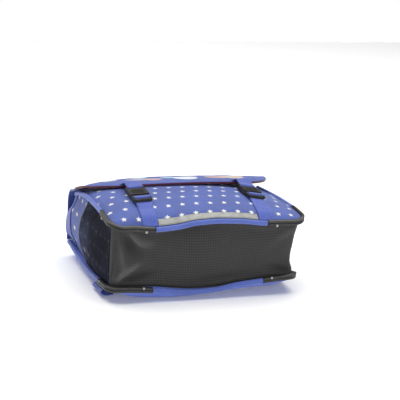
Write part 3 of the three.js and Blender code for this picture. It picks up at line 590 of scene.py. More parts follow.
def star_mask(graph, u, v):
    """Five-pointed stars on a slanted grid of the cloth's own coordinates."""
    cells = []
    for value, middle, pitch in zip((u - v * STAR_SKEW, v), STAR_MIDDLE, STAR_PITCH):
        cells.append((graph.math("FRACT", (value - middle) / pitch + STAR_CELLS) - 0.5) * pitch)
    x, y = cells[0] + cells[1] * STAR_SKEW, cells[1]
    half = math.pi / 5
    folded = graph.math("PINGPONG", graph.math("ARCTAN2", x, y) + math.tau, half)
    inner = STAR_RADIUS * STAR_VALLEY
    # The edge from a point to a valley, as a radius at each angle
    slope = graph.math("SINE", half - folded) * inner + graph.math("SINE", folded) * STAR_RADIUS
    edge = graph.math("DIVIDE", STAR_RADIUS * inner * math.sin(half), slope)
    return graph.step(edge - graph.distance(x, y), -STAR_EDGE, STAR_EDGE)


def star_cloth():
    graph = Graph("star_cloth", BLUE, 0.62, sheen=0.25)
    color, normal = woven(graph, BLUE)
    return graph.finish(graph.mix(star_mask(graph, *graph.uv()), color, CREAM), normal)


def plain_cloth(name, base, pitch=THREAD_PITCH):
    graph = Graph(name, base, 0.62, sheen=0.25)
    return graph.finish(*woven(graph, base, pitch=pitch))


def flap_cloth():
    """Plain blue with a loose scatter of pale overlapping dots."""
    graph = Graph("flap_cloth", BLUE, 0.5, sheen=0.2)
    color, normal = woven(graph, BLUE, 0.00015)
    u, v = graph.uv()
    for across, along, radius, tint in FLAP_DOTS:
        far = graph.distance(u - across, v - along)
        color = graph.mix(graph.step(far, radius, radius - DOT_EDGE), color, tint)
    return graph.finish(color, normal)


def webbing_cloth(name, base, ribs=0.0022, facing=None):
    """Flat woven tape with ribs along it and fine cross threads, with a facing of a colour under it."""
    graph = Graph(name, base, 0.5, sheen=0.3)
    u, v = graph.uv()
    height = graph.wave(v, ribs) + graph.wave(u, 0.0012) * 0.5
    tone = graph.mix(graph.step(height, -1.5, 1.5), shade(base, 0.82), shade(base, 1.12))
    tone = graph.mix(graph.step(graph.cloud(40, 3), 0.4, 0.7), tone, shade(base, 0.9))
    if facing:
        tone = graph.mix(graph.step(v, 0.36, 0.39) * (1.0 - graph.step(v, 0.94, 0.97)), tone, facing)
    return graph.finish(tone, graph.bump(height, 0.5, 0.0003))


def black_weave(base):
    """Coarse black cloth: thick threads gathered in checks, with a painted highlight on its outward folds
    and painted shade in its inward creases.
    """
    graph = Graph("black_weave", base, 0.65, sheen=0.06)
    u, v = graph.uv()
    fine = graph.wave(u, 0.0018) * graph.wave(v, 0.0018)
    checks = abs(graph.wave(u, CHECK_PITCH[0])) * abs(graph.wave(v, CHECK_PITCH[1]))
    squares = graph.mix(graph.step(checks, 0.15, 0.85), shade(base, 0.6), shade(base, 1.9))
    tone = graph.mix(graph.step(graph.cloud(9, 3), 0.35, 0.7), squares, shade(base, 1.5))
    tone = graph.mix(0.6, tone, squares)
    # Painted light and shade of the gusset's folds: paler on outward folds, darker in inward creases
    fold_shading = graph.node("ShaderNodeAttribute", output="Fac", attribute_name="fold_shading")
    for limit, share, tint in ((1, 0.55, FOLD_HIGHLIGHT), (-1, 0.7, CREASE_SHADE)):
        tone = graph.mix(graph.step(fold_shading, 0, limit), tone, graph.mix(share, tone, tint))
    return graph.finish(tone, graph.bump(checks + fine * 0.4, 0.6, 0.0006, graph.puckers()))


def moulded(name, base, pale, roughness, specular, scuffs, grain):
    """Grained plastic or rubber, paler and duller where it is scuffed."""
    graph = Graph(name, base, roughness, specular=specular)
    (scale, detail, low, high), (size, strength, depth) = scuffs, grain
    scuffed = graph.step(graph.cloud(scale, detail), low, high)
    return graph.finish(graph.mix(scuffed, base, pale), graph.bump(graph.cloud(size, 2), strength, depth),
                        scuffed * 0.2 + roughness)


def mesh_cloth():
    """Dark knitted net over the cloth: threads round small holes."""
    graph = Graph("black_mesh", (0.01, 0.011, 0.018), 0.85, specular=0.15)
    u, v = graph.uv()
    holes = abs(graph.wave(u, NET_PITCH)) * abs(graph.wave(v, NET_PITCH))
    uneven = graph.step(graph.cloud(40, 3), 0.3, 0.7)
    tone = graph.mix(uneven, (0.006, 0.007, 0.012), (0.014, 0.015, 0.028))
    return graph.finish(tone, graph.bump(holes, 0.6, 0.0004), alpha=1.0 - graph.step(holes, 0.36, 0.48))


def reflective_tape(base):
    graph = Graph("reflective", base, 0.36, metallic=0.35)
    u, v = graph.uv()
    beads = graph.wave(u + v, BEAD_PITCH) * graph.wave(u - v, BEAD_PITCH)
    tone = graph.mix(graph.step(graph.cloud(90, 4), 0.4, 0.7), base, shade(base, 0.78))
    return graph.finish(tone, graph.bump(beads, 0.3, 0.0001))


def nickel_metal():
    graph = Graph("nickel", (0.42, 0.41, 0.40), 0.3, metallic=1.0)
    grain = graph.bump(graph.cloud(700, 2), 0.1, 0.0001)
    return graph.finish(normal=grain, roughness=graph.cloud(300, 3) * 0.2 + 0.2)


STAR = star_cloth()
# Blue cloth of the back pad and shoulder pads, painted much brighter than the bag's blue: painted light
# standing in for the floor's bounce on the belly
BLUE_WITH_PAINTED_LIGHT = plain_cloth("blue_cloth", (0.14, 0.21, 0.66))
WEB = webbing_cloth("blue_webbing", (0.050, 0.095, 0.46))
BINDING = webbing_cloth("blue_binding", (0.095, 0.16, 0.60), ribs=0.0016)
EDGING = webbing_cloth("flap_edging", (0.065, 0.115, 0.47), ribs=0.12, facing=(0.12, 0.008, 0.022))
BLACK = black_weave((0.023, 0.022, 0.0225))
NET = mesh_cloth()
RED = plain_cloth("red_cloth", (0.10, 0.006, 0.02))
TAPE = reflective_tape((0.37, 0.37, 0.345))
RUBBER = moulded("black_rubber", (0.016, 0.0155, 0.0145), (0.045, 0.043, 0.038), 0.36, 0.6,
                 (160, 6, 0.52, 0.72), (900, 0.25, 0.0002))
PLASTIC = moulded("black_plastic", (0.016, 0.0155, 0.013), (0.038, 0.036, 0.029), 0.45, 0.35,
                  (220, 5, 0.5, 0.75), (1400, 0.3, 0.0001))
NICKEL = nickel_metal()
DARK_TAPE = webbing_cloth("dark_tape", (0.03, 0.04, 0.12))
FLAP_CLOTH = flap_cloth()
THREAD = plain_cloth("blue_thread", (0.16, 0.22, 0.74), pitch=0.0006)
DARK_THREAD = plain_cloth("dark_thread", (0.05, 0.05, 0.055), pitch=0.0006)


def closer_at_sides(share):
    return np.sin(math.pi * (share - 0.5))


# Front and back panels
def add_panels():
    half, near = HALF_WIDTH - PANEL_INSET, -HALF_HEIGHT + PANEL_INSET
    radius = CORNER_RADIUS - PANEL_INSET
    share, along = grid(150, 110)
    x, y = rounded_plan(closer_at_sides(share), along, half, near, FRONT_TOP, radius, 0.2)
    free = (ease(np.minimum(half - np.abs(x), y - near), FREE_FROM, FREE_FULL)
            * ease(FLAP_NEAR + FREE_UNDER_FLAP - y, 0, FREE_UNDER_FLAP))
    ripple = FRONT_RIPPLE * noise(x / FRONT_SPREAD, y / FRONT_SPREAD, FRONT_SEED)
    z = front_face(x, y) + free * (ripple - 0.2)
    uv = cloth_uv(x, lengths(np.stack([y, z], -1)))
    outer = stack(x, y, z)
    skin("front_panel_cloth", outer, outer - (0, 0, CLOTH), STAR, uv, "star_cloth", ["front_panel"],
         "stretched", ["bottom_panel_cloth", "front_piping"])
    share, along = grid(90, 80)
    x, y = rounded_plan(closer_at_sides(share), along, half, near, HALF_HEIGHT, radius, 0.2)
    outer, inner = stack(x, y, back_face(x, y)), stack(x, y, back_inside(x, y))
    # The back pad's cloth is the brightened blue, with painted light on the belly
    pad = skin("back_panel_pad", outer, inner, BLUE_WITH_PAINTED_LIGHT, cloth_uv(x, y), "blue_cloth", ["back_panel"])


# Depth of a fold of the black gusset at which the painted highlight on a ridge, and the painted shade in a
# crease, are full
CREASE_FULL = 4.5
# Its creases: share along, share up, angle, half length and half width, depth inward
CREASES = (
    (-.70, .86, -52, 26, 7, -4.5), (-.73, .70, -70, 22, 9, 5.0), (-.61, .77, -20, 26, 10, -3.0),
    (-.64, .62, -60, 22, 9, 3.0), (-.80, .50, -78, 30, 7, -2.6), (-.72, .30, 38, 30, 7, -4.0),
    (-.64, .15, 14, 34, 7, 4.5), (-.82, .12, 56, 22, 7, -3.0), (-.93, .22, 74, 24, 6, 2.5),
    (.86, .22, -48, 30, 8, -3.5), (.76, .12, -16, 40, 7, 4.5), (.90, .62, 84, 44, 9, 2.0),
    (.72, .80, 30, 36, 9, -2.0), (.10, .10, 4, 80, 8, 2.5), (-.20, .92, 4, 60, 7, 2.0),
    (.35, .94, -3, 60, 6, -2.0),
)


def creased(distance, up):
    depth = 0
    for along, height, angle, long, wide, inward in CREASES:
        across, rise = distance - along * SEAM, (up - height) * BAG_DEPTH
        cos, sin = math.cos(math.radians(angle)), math.sin(math.radians(angle))
        depth = depth + inward * (bump((across * cos + rise * sin) / long)
                                  * bump((rise * cos - across * sin) / wide))
    return depth * ease(up, 0, 0.12) * ease(1 - up, 0, 0.12)


def gusset_skin(name, distances, thickness, lift, material, slot, nodes, folded=False, fullness=None,
                **cloth):
    """A sheet of the gusset between the front and back edges, creased where it is folded, with a painted
    highlight on its ridges and painted shade in its creases.
    """
    run, up = np.meshgrid(distances, np.linspace(0, 1, 37), indexing="ij")
    if fullness:
        lift = lift + fullness(run, up)
    if folded:
        ripple = GUSSET_RIPPLE * noise(run / GUSSET_SPREAD, up * 3.2, GUSSET_SEED)
        lift = lift + ripple * ease(up, 0, 0.25) * ease(1 - up, 0, 0.25) - creased(run, up)
    outer = stack(*gusset_point(run, up, lift))
    inner = stack(*gusset_point(run, up, lift - thickness))
    obj = skin(name, outer, inner, material, cloth_uv(run, lengths(outer)), slot, nodes, **cloth)
    if folded:
        # Painted fold light and shade: positive on outward folds for the painted highlight, negative in
        # inward creases for the painted shade
        fold_shading = np.concatenate([(-creased(run, up) / CREASE_FULL).reshape(-1), np.zeros(run.size)])
        layer = obj.data.attributes.new("fold_shading", "FLOAT", "POINT")
        layer.data.foreach_set("value", fold_shading.astype(np.float32))


def add_seam_cover():
    """The black cloth's turned hem, laid on the back panel between the gusset and the edge binding."""
    run, share = np.meshgrid(np.linspace(-SEAM, SEAM, 241), np.linspace(0, 1, 7), indexing="ij")
    inset = BINDING_DEPTH + SEAM_GAP + (GUSSET_INSET - BINDING_DEPTH - SEAM_GAP * 2) * share
    x, y, _, _ = outline(run, inset)
    low = back_inside(x, y) + SEAM_GAP
    skin("bottom_hem", stack(x, y, low + HEM_THICK), stack(x, y, low), BLACK, cloth_uv(run, inset),
         "black_weave", [])


def add_gussets():
    gusset_skin("bottom_panel_cloth", np.linspace(-SEAM, SEAM, 241), CLOTH, 0, BLACK, "black_weave",
                ["bottom_panel"], folded=True, held="stretched", rests_on=["back_panel_pad"])
    mouth, band = outline_length(-HALF_HEIGHT + POCKET_LENGTH), outline_length(ROLL_START)
    end, start = outline_length(SIDE_TOP), SEAM + SEAM_GAP
    for name, sign in SIDES:
        gusset_skin(f"side_panel_cloth_{name}", sign * np.linspace(start, end, 121), CLOTH, 0, STAR,
                    "star_cloth", [f"side_panel_{name}"], held="stretched", rests_on=["back_panel_pad"])
        gusset_skin(f"side_band_cloth_{name}", sign * np.linspace(band, end, 25), WEBBING,
                    SEAM_GAP + WEBBING, WEB, "blue_webbing", [f"side_band_{name}"], held="laid",
                    rests_on=[f"side_panel_cloth_{name}"])

        def full(run, up):
            along = 1 - (np.abs(run) - start) / (mouth - start)
            return POCKET_BULGE * np.sin(math.pi * up) * ease(1 - along, 0, 0.7)

        gusset_skin(f"mesh_pocket_net_{name}", sign * np.linspace(start, mouth, 91), MESH,
                    SEAM_GAP + MESH, NET, "black_mesh", [f"mesh_pocket_{name}"], fullness=full,
                    held="gathered", rests_on=[f"side_panel_cloth_{name}"])
        turn, up = circle(16), np.linspace(0, 1, 41)[:, None]
        run = mouth + SEAM_GAP + POCKET_HEM * (0.5 - 0.5 * np.cos(turn))
        lift = SEAM_GAP + CLOTH * (0.5 + 0.5 * np.sin(turn)) + full(mouth, up)
        rings = stack(*gusset_point(sign * run, up, lift))
        sweep(f"pocket_hem_{name}", rings, DARK_TAPE, [f"pocket_binding_{name}"])


# Bindings and guards round the two edges
def edge_point(face, distance, inset, up):
    x, y, _, _ = outline(distance, inset)
    middle_x, middle_y, _, _ = outline(distance, BINDING_DEPTH)
    if face == "front":
        height = front_inside(middle_x, middle_y) + CLOTH / 2
    else:
        height = back_face(middle_x, middle_y) + BACK_PADDING / 2
    return stack(x, y, height + up)


def rounded_section():
    """Inset and height round a turned edge binding: flat on the cloth, full at the edge."""
    turn = np.linspace(math.pi / 2, math.pi * 1.5, 13)
    inset = np.concatenate([[1, 0.8], 0.5 + 0.5 * np.cos(turn), [0.8, 1]])
    up = np.concatenate([[0.8, 1], np.sin(turn), [-1, -0.8]])
    return inset * BINDING_DEPTH, up * BINDING_HEIGHT / 2


# Shares of the guard's depth and half height
VALLEY_DEPTH, VALLEY_REACH = 0.26, 0.16
SHOULDER_DROP, SHOULDER_FROM = 0.62, 0.68


def guard_section():
    """Inset and height round a guard: two full ridges with a valley between them."""
    up = np.linspace(-1, 1, 33)
    shoulder = np.maximum(0, (np.abs(up) - SHOULDER_FROM) / (1 - SHOULDER_FROM))
    inset = VALLEY_DEPTH * bump(up / VALLEY_REACH) + SHOULDER_DROP * shoulder ** 2
    return (np.concatenate([[1], inset, [1]]) * BINDING_DEPTH,
            np.concatenate([[-1], up, [1]]) * GUARD_HEIGHT / 2)


def edge_sweep(name, face, section, distances, material, nodes):
    sweep(name, edge_point(face, distances[:, None], *section), material, nodes)


def add_bindings():
    guard_start = STRAIGHT_HALF + CORNER_RADIUS - GUARD_BOTTOM_LEG
    guard_end = outline_length(-HALF_HEIGHT + GUARD_SIDE_LEG)
    for face, piece, top in (("front", "front_piping", FRONT_TOP),
                             ("back", "back_edging", HALF_HEIGHT - CLOTH - SEAM_GAP * 4)):
        bottom = guard_start - SEAM_GAP
        edge_sweep(piece, face, rounded_section(), np.linspace(-bottom, bottom, 121), BINDING,
                   [f"{face}_piping_bottom"])
        low, high = guard_end + SEAM_GAP, outline_length(top)
        for name, sign in SIDES:
            edge_sweep(f"{face}_side_binding_{name}", face, rounded_section(),
                       sign * np.linspace(low, high, 91), BINDING,
                       [f"{face}_piping_{name}"])
            edge_sweep(f"edge_guard_{face}_{name}", face, guard_section(),
                       sign * np.linspace(guard_start, guard_end, 101), RUBBER,
                       [f"corner_guard_{face}_{name}"])


# Radius and height of a rivet's head from its foot to its top, as shares of the whole
RIVET_PROFILE = ((0, 0), (1, 0), (1, .22), (.94, .4), (.8, .62), (.58, .82), (.3, .96), (0, 1))
RIVET_AROUND = 24
RIVET_LEAN = 0.37


def add_rivets():
    places = (STRAIGHT_HALF + CORNER_RADIUS - GUARD_BOTTOM_LEG + GUARD_HEIGHT * 1.6,
              outline_length(-HALF_HEIGHT + GUARD_SIDE_LEG) - GUARD_HEIGHT * 1.6)
    radius, height = np.array(RIVET_PROFILE).T[..., None]
    angle = circle(RIVET_AROUND)
    head = stack(radius * np.cos(angle) * RIVET_RADIUS, radius * np.sin(angle) * RIVET_RADIUS,
                 height * RIVET_HEIGHT)
    faces = bar_faces(len(RIVET_PROFILE), RIVET_AROUND, caps=False)
    spots = [(face, lean, sign * place) for face, lean in (("front", -RIVET_LEAN), ("back", RIVET_LEAN))
             for _, sign in SIDES for place in places]
    for number, (face, lean, place) in enumerate(spots, 1):
        base = settled(edge_point(face, place, -SEAM_GAP, GUARD_HEIGHT * lean)[None])[0]
        _, _, out_x, out_y = outline(place, 0)
        out = Vector((float(out_x), float(out_y), 0))
        turn = np.array(Vector((0, 0, 1)).rotation_difference(out).to_matrix())
        points = (base + head @ turn.T * MM).reshape(-1, 3)
        rivet = new_object(f"rivet_head_{number}", points, faces, NICKEL)
        merge_close(rivet)
        finish_piece(rivet, [f"rivet_{number}"])


def merge_close(obj):
    shape = bmesh.new()
    shape.from_mesh(obj.data)
    bmesh.ops.remove_doubles(shape, verts=shape.verts, dist=1e-6)
    bmesh.ops.dissolve_degenerate(shape, edges=shape.edges, dist=1e-7)
    shape.to_mesh(obj.data)
    shape.free()


# Flap: over the front, round the top end and down to the back
FLAP_ROWS = (10, 5, 2)


def flap_point(across, row, lift):
    cover, roll, fall = FLAP_ROWS
    half = FLAP_WIDTH / 2
    x, y = rounded_plan(across, np.clip(row / cover, 0, 1), half, FLAP_NEAR, ROLL_START, FLAP_CORNER, 0.5)
    over = stack(x + FLAP_PLACE, y, flap_bed(x + FLAP_PLACE, y) + lift)
    wrapped = (row - cover) / (roll + fall)
    x = FLAP_PLACE + across * (half - FLAP_NARROWING * ease(wrapped, 0, 1))
    centre = flap_bed(x, ROLL_START) - FLAP_ROLL
    turn = np.clip((row - cover) / roll, 0, 1) * math.pi / 2
    radius = FLAP_ROLL + lift
    y = ROLL_START + radius * np.sin(turn)
    rolled = stack(x, y, centre + radius * np.cos(turn))
    down = np.clip((row - cover - roll) / fall, 0, 1)
    root = back_inside(x, ROLL_START + radius + 0 * x) + SEAT_GAP
    fallen = stack(x, ROLL_START + radius, centre + (root - centre) * down)
    row = np.asarray(row)[..., None]
    return np.where(row <= cover, over, np.where(row <= cover + roll, rolled, fallen))


def add_flap():
    total = sum(FLAP_ROWS)
    share, along = grid(120, 136)
    across, row = closer_at_sides(share), along * total
    ripple = FLAP_RIPPLE * noise(across * 7, row * 0.8, FLAP_SEED) * ease(1 - np.abs(across), 0, 0.2)
    ripple = ripple * ease(row, 0, 2) * ease(total - row, 0, 1.5) * (row > 5)
    lift = CLOTH + np.maximum(ripple, -0.2)
    outer, inner = flap_point(across, row, lift), flap_point(across, row, lift - CLOTH)
    uv = cloth_uv(outer[..., 0], lengths(outer[..., 1:]))
    skin("flap_cloth", outer, inner, FLAP_CLOTH, uv, "blue_cloth", ["flap"], "folded",
         ["front_panel_cloth"])
    share, along = grid(100, 40)
    across, row = closer_at_sides(share), along * 5
    top = flap_point(across, row, -SEAM_GAP)
    skin("flap_facing", top, flap_point(across, row, -SEAM_GAP - LINING), RED,
         cloth_uv(top[..., 0], top[..., 1]), "red_cloth", ["flap_lining"], "laid", ["flap_cloth"])
    turn, tall = circle(18), CLOTH + LINING + SEAM_GAP + WEBBING
    x, y, base_x, base_y = flap_edge(0.1 + CLOTH * (0.6 - 0.6 * np.cos(turn)))
    thin = 1 - 0.5 * ease(base_y - FLAP_NEAR, 15, 90)
    fade = 0.2 + 0.8 * ease(ROLL_START - base_y, 0, 30)
    up = CLOTH + (WEBBING / 2 + tall / 2 * (np.sin(turn) - 1)) * thin
    rings = stack(base_x + (x - base_x) * fade, base_y + (y - base_y) * fade,
                  flap_bed(base_x, base_y) + up)
    sweep("flap_edging", rings, EDGING, ["flap_binding"])
    x, y, _, _ = flap_edge(np.array([-FLAP_STITCH_IN]))
    stitch_surface("flap_edge_stitches", lambda a, b, c: stack(a, b, flap_bed(a, b) + CLOTH + 0.1 + c),
                   x[:, 0], y[:, 0], THREAD)


def flap_edge(out):
    """Plan of the flap's free edge moved outward by out, then the edge's own, a row for each step."""
    side = ROLL_START - FLAP_NEAR - FLAP_CORNER
    front, arc = FLAP_WIDTH / 2 - FLAP_CORNER, FLAP_CORNER * math.pi / 2
    total = front + arc + side
    distance = np.linspace(-total, total, 260)[:, None]
    sign, run = np.where(distance < 0, -1, 1), np.abs(distance)
    turn = np.clip((run - front) / FLAP_CORNER, 0, math.pi / 2)
    rest = np.maximum(run - front - arc, 0)
    plans = []
    for radius in (FLAP_CORNER + out, FLAP_CORNER + 0 * out):
        plans += [FLAP_PLACE + sign * (np.minimum(run, front) + radius * np.sin(turn)),
                  FLAP_NEAR + FLAP_CORNER - radius * np.cos(turn) + rest]
    return plans


# Webbing straps and buckles
PRONG_LOW = WEBBING + BUCKLE_CLEARANCE * 2
PRONG_HIGH = PRONG_LOW + PRONG_THICK
CROSS_BAR = BAR + SLOT
SECOND_SLOT = CROSS_BAR + BAR
SOCKET_FROM = PRONG_LENGTH + BUCKLE_CLEARANCE
SOCKET_BODY = SOCKET_FROM + SOCKET_LENGTH
SOCKET_SLOT = SOCKET_BODY + SLOT


def buckle_frame(place, start):
    near, far = -HALF_HEIGHT + start, -HALF_HEIGHT + start + BUCKLE_LENGTH
    reach, middle = BUCKLE_WIDTH / 2, -HALF_HEIGHT + start + BUCKLE_LENGTH / 2
    origin = np.array([place, near, float(front_face(place, near))])
    along = unit(np.array([place, far, float(front_face(place, far))]) - origin)
    tilt = float(front_face(place + reach, middle) - front_face(place - reach, middle)) / BUCKLE_WIDTH
    off = unit(np.cross(unit(np.array([1, 0, tilt])), along))
    across = np.cross(along, off)
    x, y = np.meshgrid(place + np.array([-reach, 0, reach]), near + (far - near) * np.linspace(0, 1, 5))
    rise = np.max((stack(x, y, front_face(x, y)) - origin) @ off)
    return origin + off * (rise + BUCKLE_SEAT), across, along, off


def in_frame(frame_of, across, along, lift):
    origin, side, up, off = frame_of
    return (origin + np.multiply.outer(across, side) + np.multiply.outer(along, up)
            + np.multiply.outer(lift, off))


def strap(name, rows, base, nodes, steps=150, columns=8):
    """A strap along rows of distance and lift, smoothly bent, with rounded selvedges."""
    rows = np.array(rows, float)
    fine = np.linspace(0, len(rows) - 1, steps)
    track = np.stack([np.interp(fine, range(len(rows)), column) for column in rows.T], 1)
    for _ in range(3):
        track[1:-1] = (track[:-2] + 2 * track[1:-1] + track[2:]) / 4
    lean = np.gradient(track, axis=0)
    lean /= np.linalg.norm(lean, axis=1, keepdims=True)
    across = np.linspace(-1, 1, columns + 1)
    side = np.concatenate([across, [1.015], across[::-1], [-1.015]]) * STRAP_WIDTH / 2 * 0.985
    through = np.repeat([1.0, 0.5, 0.0, 0.5], [columns + 1, 1, columns + 1, 1]) * WEBBING
    (along, lift), (lean_along, lean_lift) = track.T[..., None], lean.T[..., None]
    rings = settled(base(side, along - lean_lift * through, lift + lean_along * through))
    bar(name, rings, lengths(rings[:, 0]), side * MM, WEB, nodes)


def front_strap_rows(start):
    over, turn = PRONG_HIGH + BUCKLE_CLEARANCE, BUCKLE_CLEARANCE * 3
    return [(start, SEAT_GAP), (start * 0.75, SEAT_GAP), (start * 0.5, SEAT_GAP),
            (start * 0.25, BUCKLE_CLEARANCE), (0, BUCKLE_CLEARANCE),
            (BAR + BUCKLE_CLEARANCE, BUCKLE_CLEARANCE), (CROSS_BAR - SLOT * 0.4, over * 0.35),
            (CROSS_BAR - turn, over - turn), (CROSS_BAR, over), (SECOND_SLOT, over),
            (SECOND_SLOT + turn, over - turn), (SECOND_SLOT + SLOT * 0.35, over * 0.45)]


def flap_strap_rows(edge):
    over, turn = SOCKET_HEIGHT + BUCKLE_CLEARANCE, BUCKLE_CLEARANCE * 3
    far = SOCKET_BODY + SOCKET_BAR
    return [(SOCKET_SLOT - SLOT * 0.35, over * 0.6), (SOCKET_SLOT - turn, over - turn), (SOCKET_SLOT, over),
            (far, over), ((far + edge) / 2, over), (edge - WEBBING * 2, WEBBING * 2), (edge, WEBBING),
            (edge + WEBBING * 2, 0.4), (edge + FLAP_STRAP_HOLD / 2, 0.1), (edge + FLAP_STRAP_HOLD, 0.1)]


# Share along a stitch and its thickness there; it sinks into the cloth at its ends
STITCH_PROFILE = ((0, 0.35), (0.2, 0.9), (0.5, 1.0), (0.8, 0.9), (1, 0.35))
STITCH_AROUND, STITCH_SINK = 6, 0.75


def stitches(name, points, normals, material):
    """A row of separate thread stitches, each a short bar that dips into the cloth at both ends."""
    run, vertices, faces = lengths(points), [], []

    def at(distance, values):
        return np.array([np.interp(distance, run, values[:, axis]) for axis in range(3)])

    for start in np.arange(STITCH_PITCH * 0.2, run[-1] - STITCH_PITCH * 0.8, STITCH_PITCH):
        faces += bar_faces(len(STITCH_PROFILE), STITCH_AROUND, len(vertices))
        for share, size in STITCH_PROFILE:
            place = start + share * STITCH_LENGTH
            up = unit(at(place, normals))
            centre = at(place, points) + up * STITCH_RADIUS * (size - STITCH_SINK)
            forward = unit(at(min(place + 0.5, run[-1]), points) - at(max(place - 0.5, 0), points))
            side = unit(np.cross(forward, up))
            for turn in circle(STITCH_AROUND):
                spoke = side * math.cos(turn) + up * math.sin(turn)
                vertices.append(centre + spoke * STITCH_RADIUS * size)
    finish_piece(new_object(name, settled(np.array(vertices)), faces, material))


def stitch_surface(name, surface, across, along, material):
    """Stitches along a track on a surface that is given as points of across, along and lift."""
    across, along = np.broadcast_arrays(np.asarray(across, float), np.asarray(along, float))
    here = surface(across, along, 0 * along)
    aside = surface(across + 0.5, along, 0 * along) - here
    ahead = surface(across, along + 0.5, 0 * along) - here
    stitches(name, here, np.cross(aside, ahead), material)


def lerp(first, second, share):
    return first + (second - first) * np.asarray(share)[..., None]


def bevelled_copy(node, name, width):
    """A rigid node's solid with its flat faces joined and its edges rounded, as a moulding has."""
    shape = bmesh.new()
    shape.from_mesh(NODES[node].data)
    bmesh.ops.remove_doubles(shape, verts=shape.verts, dist=1e-5)
    bmesh.ops.dissolve_limit(shape, angle_limit=math.radians(1), verts=shape.verts, edges=shape.edges)
    sharp = [edge for edge in shape.edges if edge.is_manifold and edge.calc_face_angle(0) > 0.3]
    bmesh.ops.bevel(shape, geom=sharp, offset=width, segments=3, profile=0.6, affect="EDGES",
                    clamp_overlap=True)
    mesh = bpy.data.meshes.new(name)
    shape.to_mesh(mesh)
    shape.free()
    mesh.polygons.foreach_set("use_smooth", [True] * len(mesh.polygons))
    mesh.materials.append(PLASTIC)
    obj = link(name, mesh)
    smooth = obj.modifiers.new("normals", "WEIGHTED_NORMAL")
    smooth.keep_sharp = True
    finish_piece(obj, [node])


# Rounding of the moulded edges, in metres
PRONG_BEVEL, SOCKET_BEVEL, LOCK_BEVEL = 0.0007, 0.0009, 0.0005
# Grip ribs on a socket: number, reach, then half width, half thickness, height and depth sunk in
RIB_COUNT, RIBS_FROM, RIBS_TO = 7, SOCKET_FROM + 5, SOCKET_FROM + 21
RIB_WIDTH, RIB_HALF, RIB_TALL, RIB_SINK = 13.0, 0.75, 0.75, 0.1
RIB_STEPS = 13


def add_ribs(name, frame_of):
    """Grip ribs across the socket, moulded on its top."""
    side = np.linspace(-1, 1, RIB_STEPS)[:, None]
    tall = RIB_TALL * np.sqrt(1 - side ** 4) + 0.05
    step, share = np.array([(-RIB_HALF, 0), (-0.5, 0.8), (0, 1), (0.5, 0.8), (RIB_HALF, 0)]).T
    up = SOCKET_HEIGHT + np.where(share > 0, tall * share, -RIB_SINK)
    ribs, faces = [], []
    for along in np.linspace(RIBS_FROM, RIBS_TO, RIB_COUNT):
        faces += bar_faces(RIB_STEPS, len(step), len(ribs) * up.size)
        ribs.append(in_frame(frame_of, RIB_WIDTH * side, along + step, up))
    points = (np.array(ribs).reshape(-1, 3) + SHIFT) * MM
    finish_piece(new_object(name, points, faces, PLASTIC))


def add_straps():
    for name, _ in SIDES:
        place, start = STRAPS[name]
        frame_of = buckle_frame(place, start)
        from_edge = STRAP_START - start

        def front_base(across, along, lift):
            y = -HALF_HEIGHT + start + along
            cloth = stack(place + across, y, front_face(place + across, y) + lift)
            on_cloth = ease(-along, BUCKLE_CLEARANCE, -from_edge * 0.4)
            return lerp(in_frame(frame_of, across, along, lift), cloth, on_cloth)

        edge = FLAP_NEAR + HALF_HEIGHT - start
        far = SOCKET_BODY + SOCKET_BAR

        def flap_base(across, along, lift):
            y = -HALF_HEIGHT + start + along
            top = stack(place + across, y, flap_bed(place + across, y) + CLOTH + lift)
            return lerp(in_frame(frame_of, across, along, lift), top, ease(along, far, edge - WEBBING * 2))

        strap(f"front_web_{name}", front_strap_rows(from_edge), front_base, [f"front_strap_{name}"])
        strap(f"flap_web_{name}", flap_strap_rows(edge), flap_base, [f"flap_strap_{name}"])
        hem = STRAP_WIDTH / 2 - STRAP_STITCH_IN
        for side in (-1, 1):
            stitch_surface(f"front_web_stitches_{name}_{'far' if side > 0 else 'near'}",
                           lambda a, b, c: front_base(a, b, c + SEAT_GAP + WEBBING), side * hem,
                           np.linspace(from_edge + 1, -14, 60), THREAD)
        corners = np.array([(-hem, 3), (-hem, FLAP_STRAP_HOLD - 3), (hem, FLAP_STRAP_HOLD - 3), (hem, 3)])
        steps = np.linspace(0, 3, 91)
        stitch_surface(f"flap_web_stitches_{name}", lambda a, b, c: flap_base(a, b, c + WEBBING + 0.15),
                       np.interp(steps, range(4), corners[:, 0]),
                       edge + np.interp(steps, range(4), corners[:, 1]), THREAD)
        bevelled_copy(f"buckle_prong_{name}", f"prong_{name}", PRONG_BEVEL)
        bevelled_copy(f"buckle_socket_{name}", f"socket_{name}", SOCKET_BEVEL)
        add_ribs(f"socket_ribs_{name}", frame_of)


def add_strip():
    gap = STRAP_WIDTH / 2 + SEAM_GAP * 4
    first, last = STRAPS["left"][0] + gap, STRAPS["right"][0] - gap
    share, along = grid(160, 12)
    x, y = first + (last - first) * share, -HALF_HEIGHT + STRIP_START + STRIP_WIDTH * along
    rounded = STRIP_THICK * (1 - 0.35 * (np.abs(along * 2 - 1)) ** 6)
    base = front_face(x, y) + SEAM_GAP * 2
    skin("reflective_tape", stack(x, y, base + rounded), stack(x, y, base), TAPE, cloth_uv(x, y),
         "reflective", ["reflective_strip"], "laid", ["front_panel_cloth"])
    for name, along in (("near", STRIP_STITCH_IN), ("far", STRIP_WIDTH - STRIP_STITCH_IN)):
        stitch_surface(f"strip_stitches_{name}",
                       lambda a, b, c: stack(a, b, front_face(a, b) + SEAM_GAP * 2 + STRIP_THICK * 0.9 + c),
                       np.linspace(first + 1, last - 1, 240), -HALF_HEIGHT + STRIP_START + along,
                       DARK_THREAD)


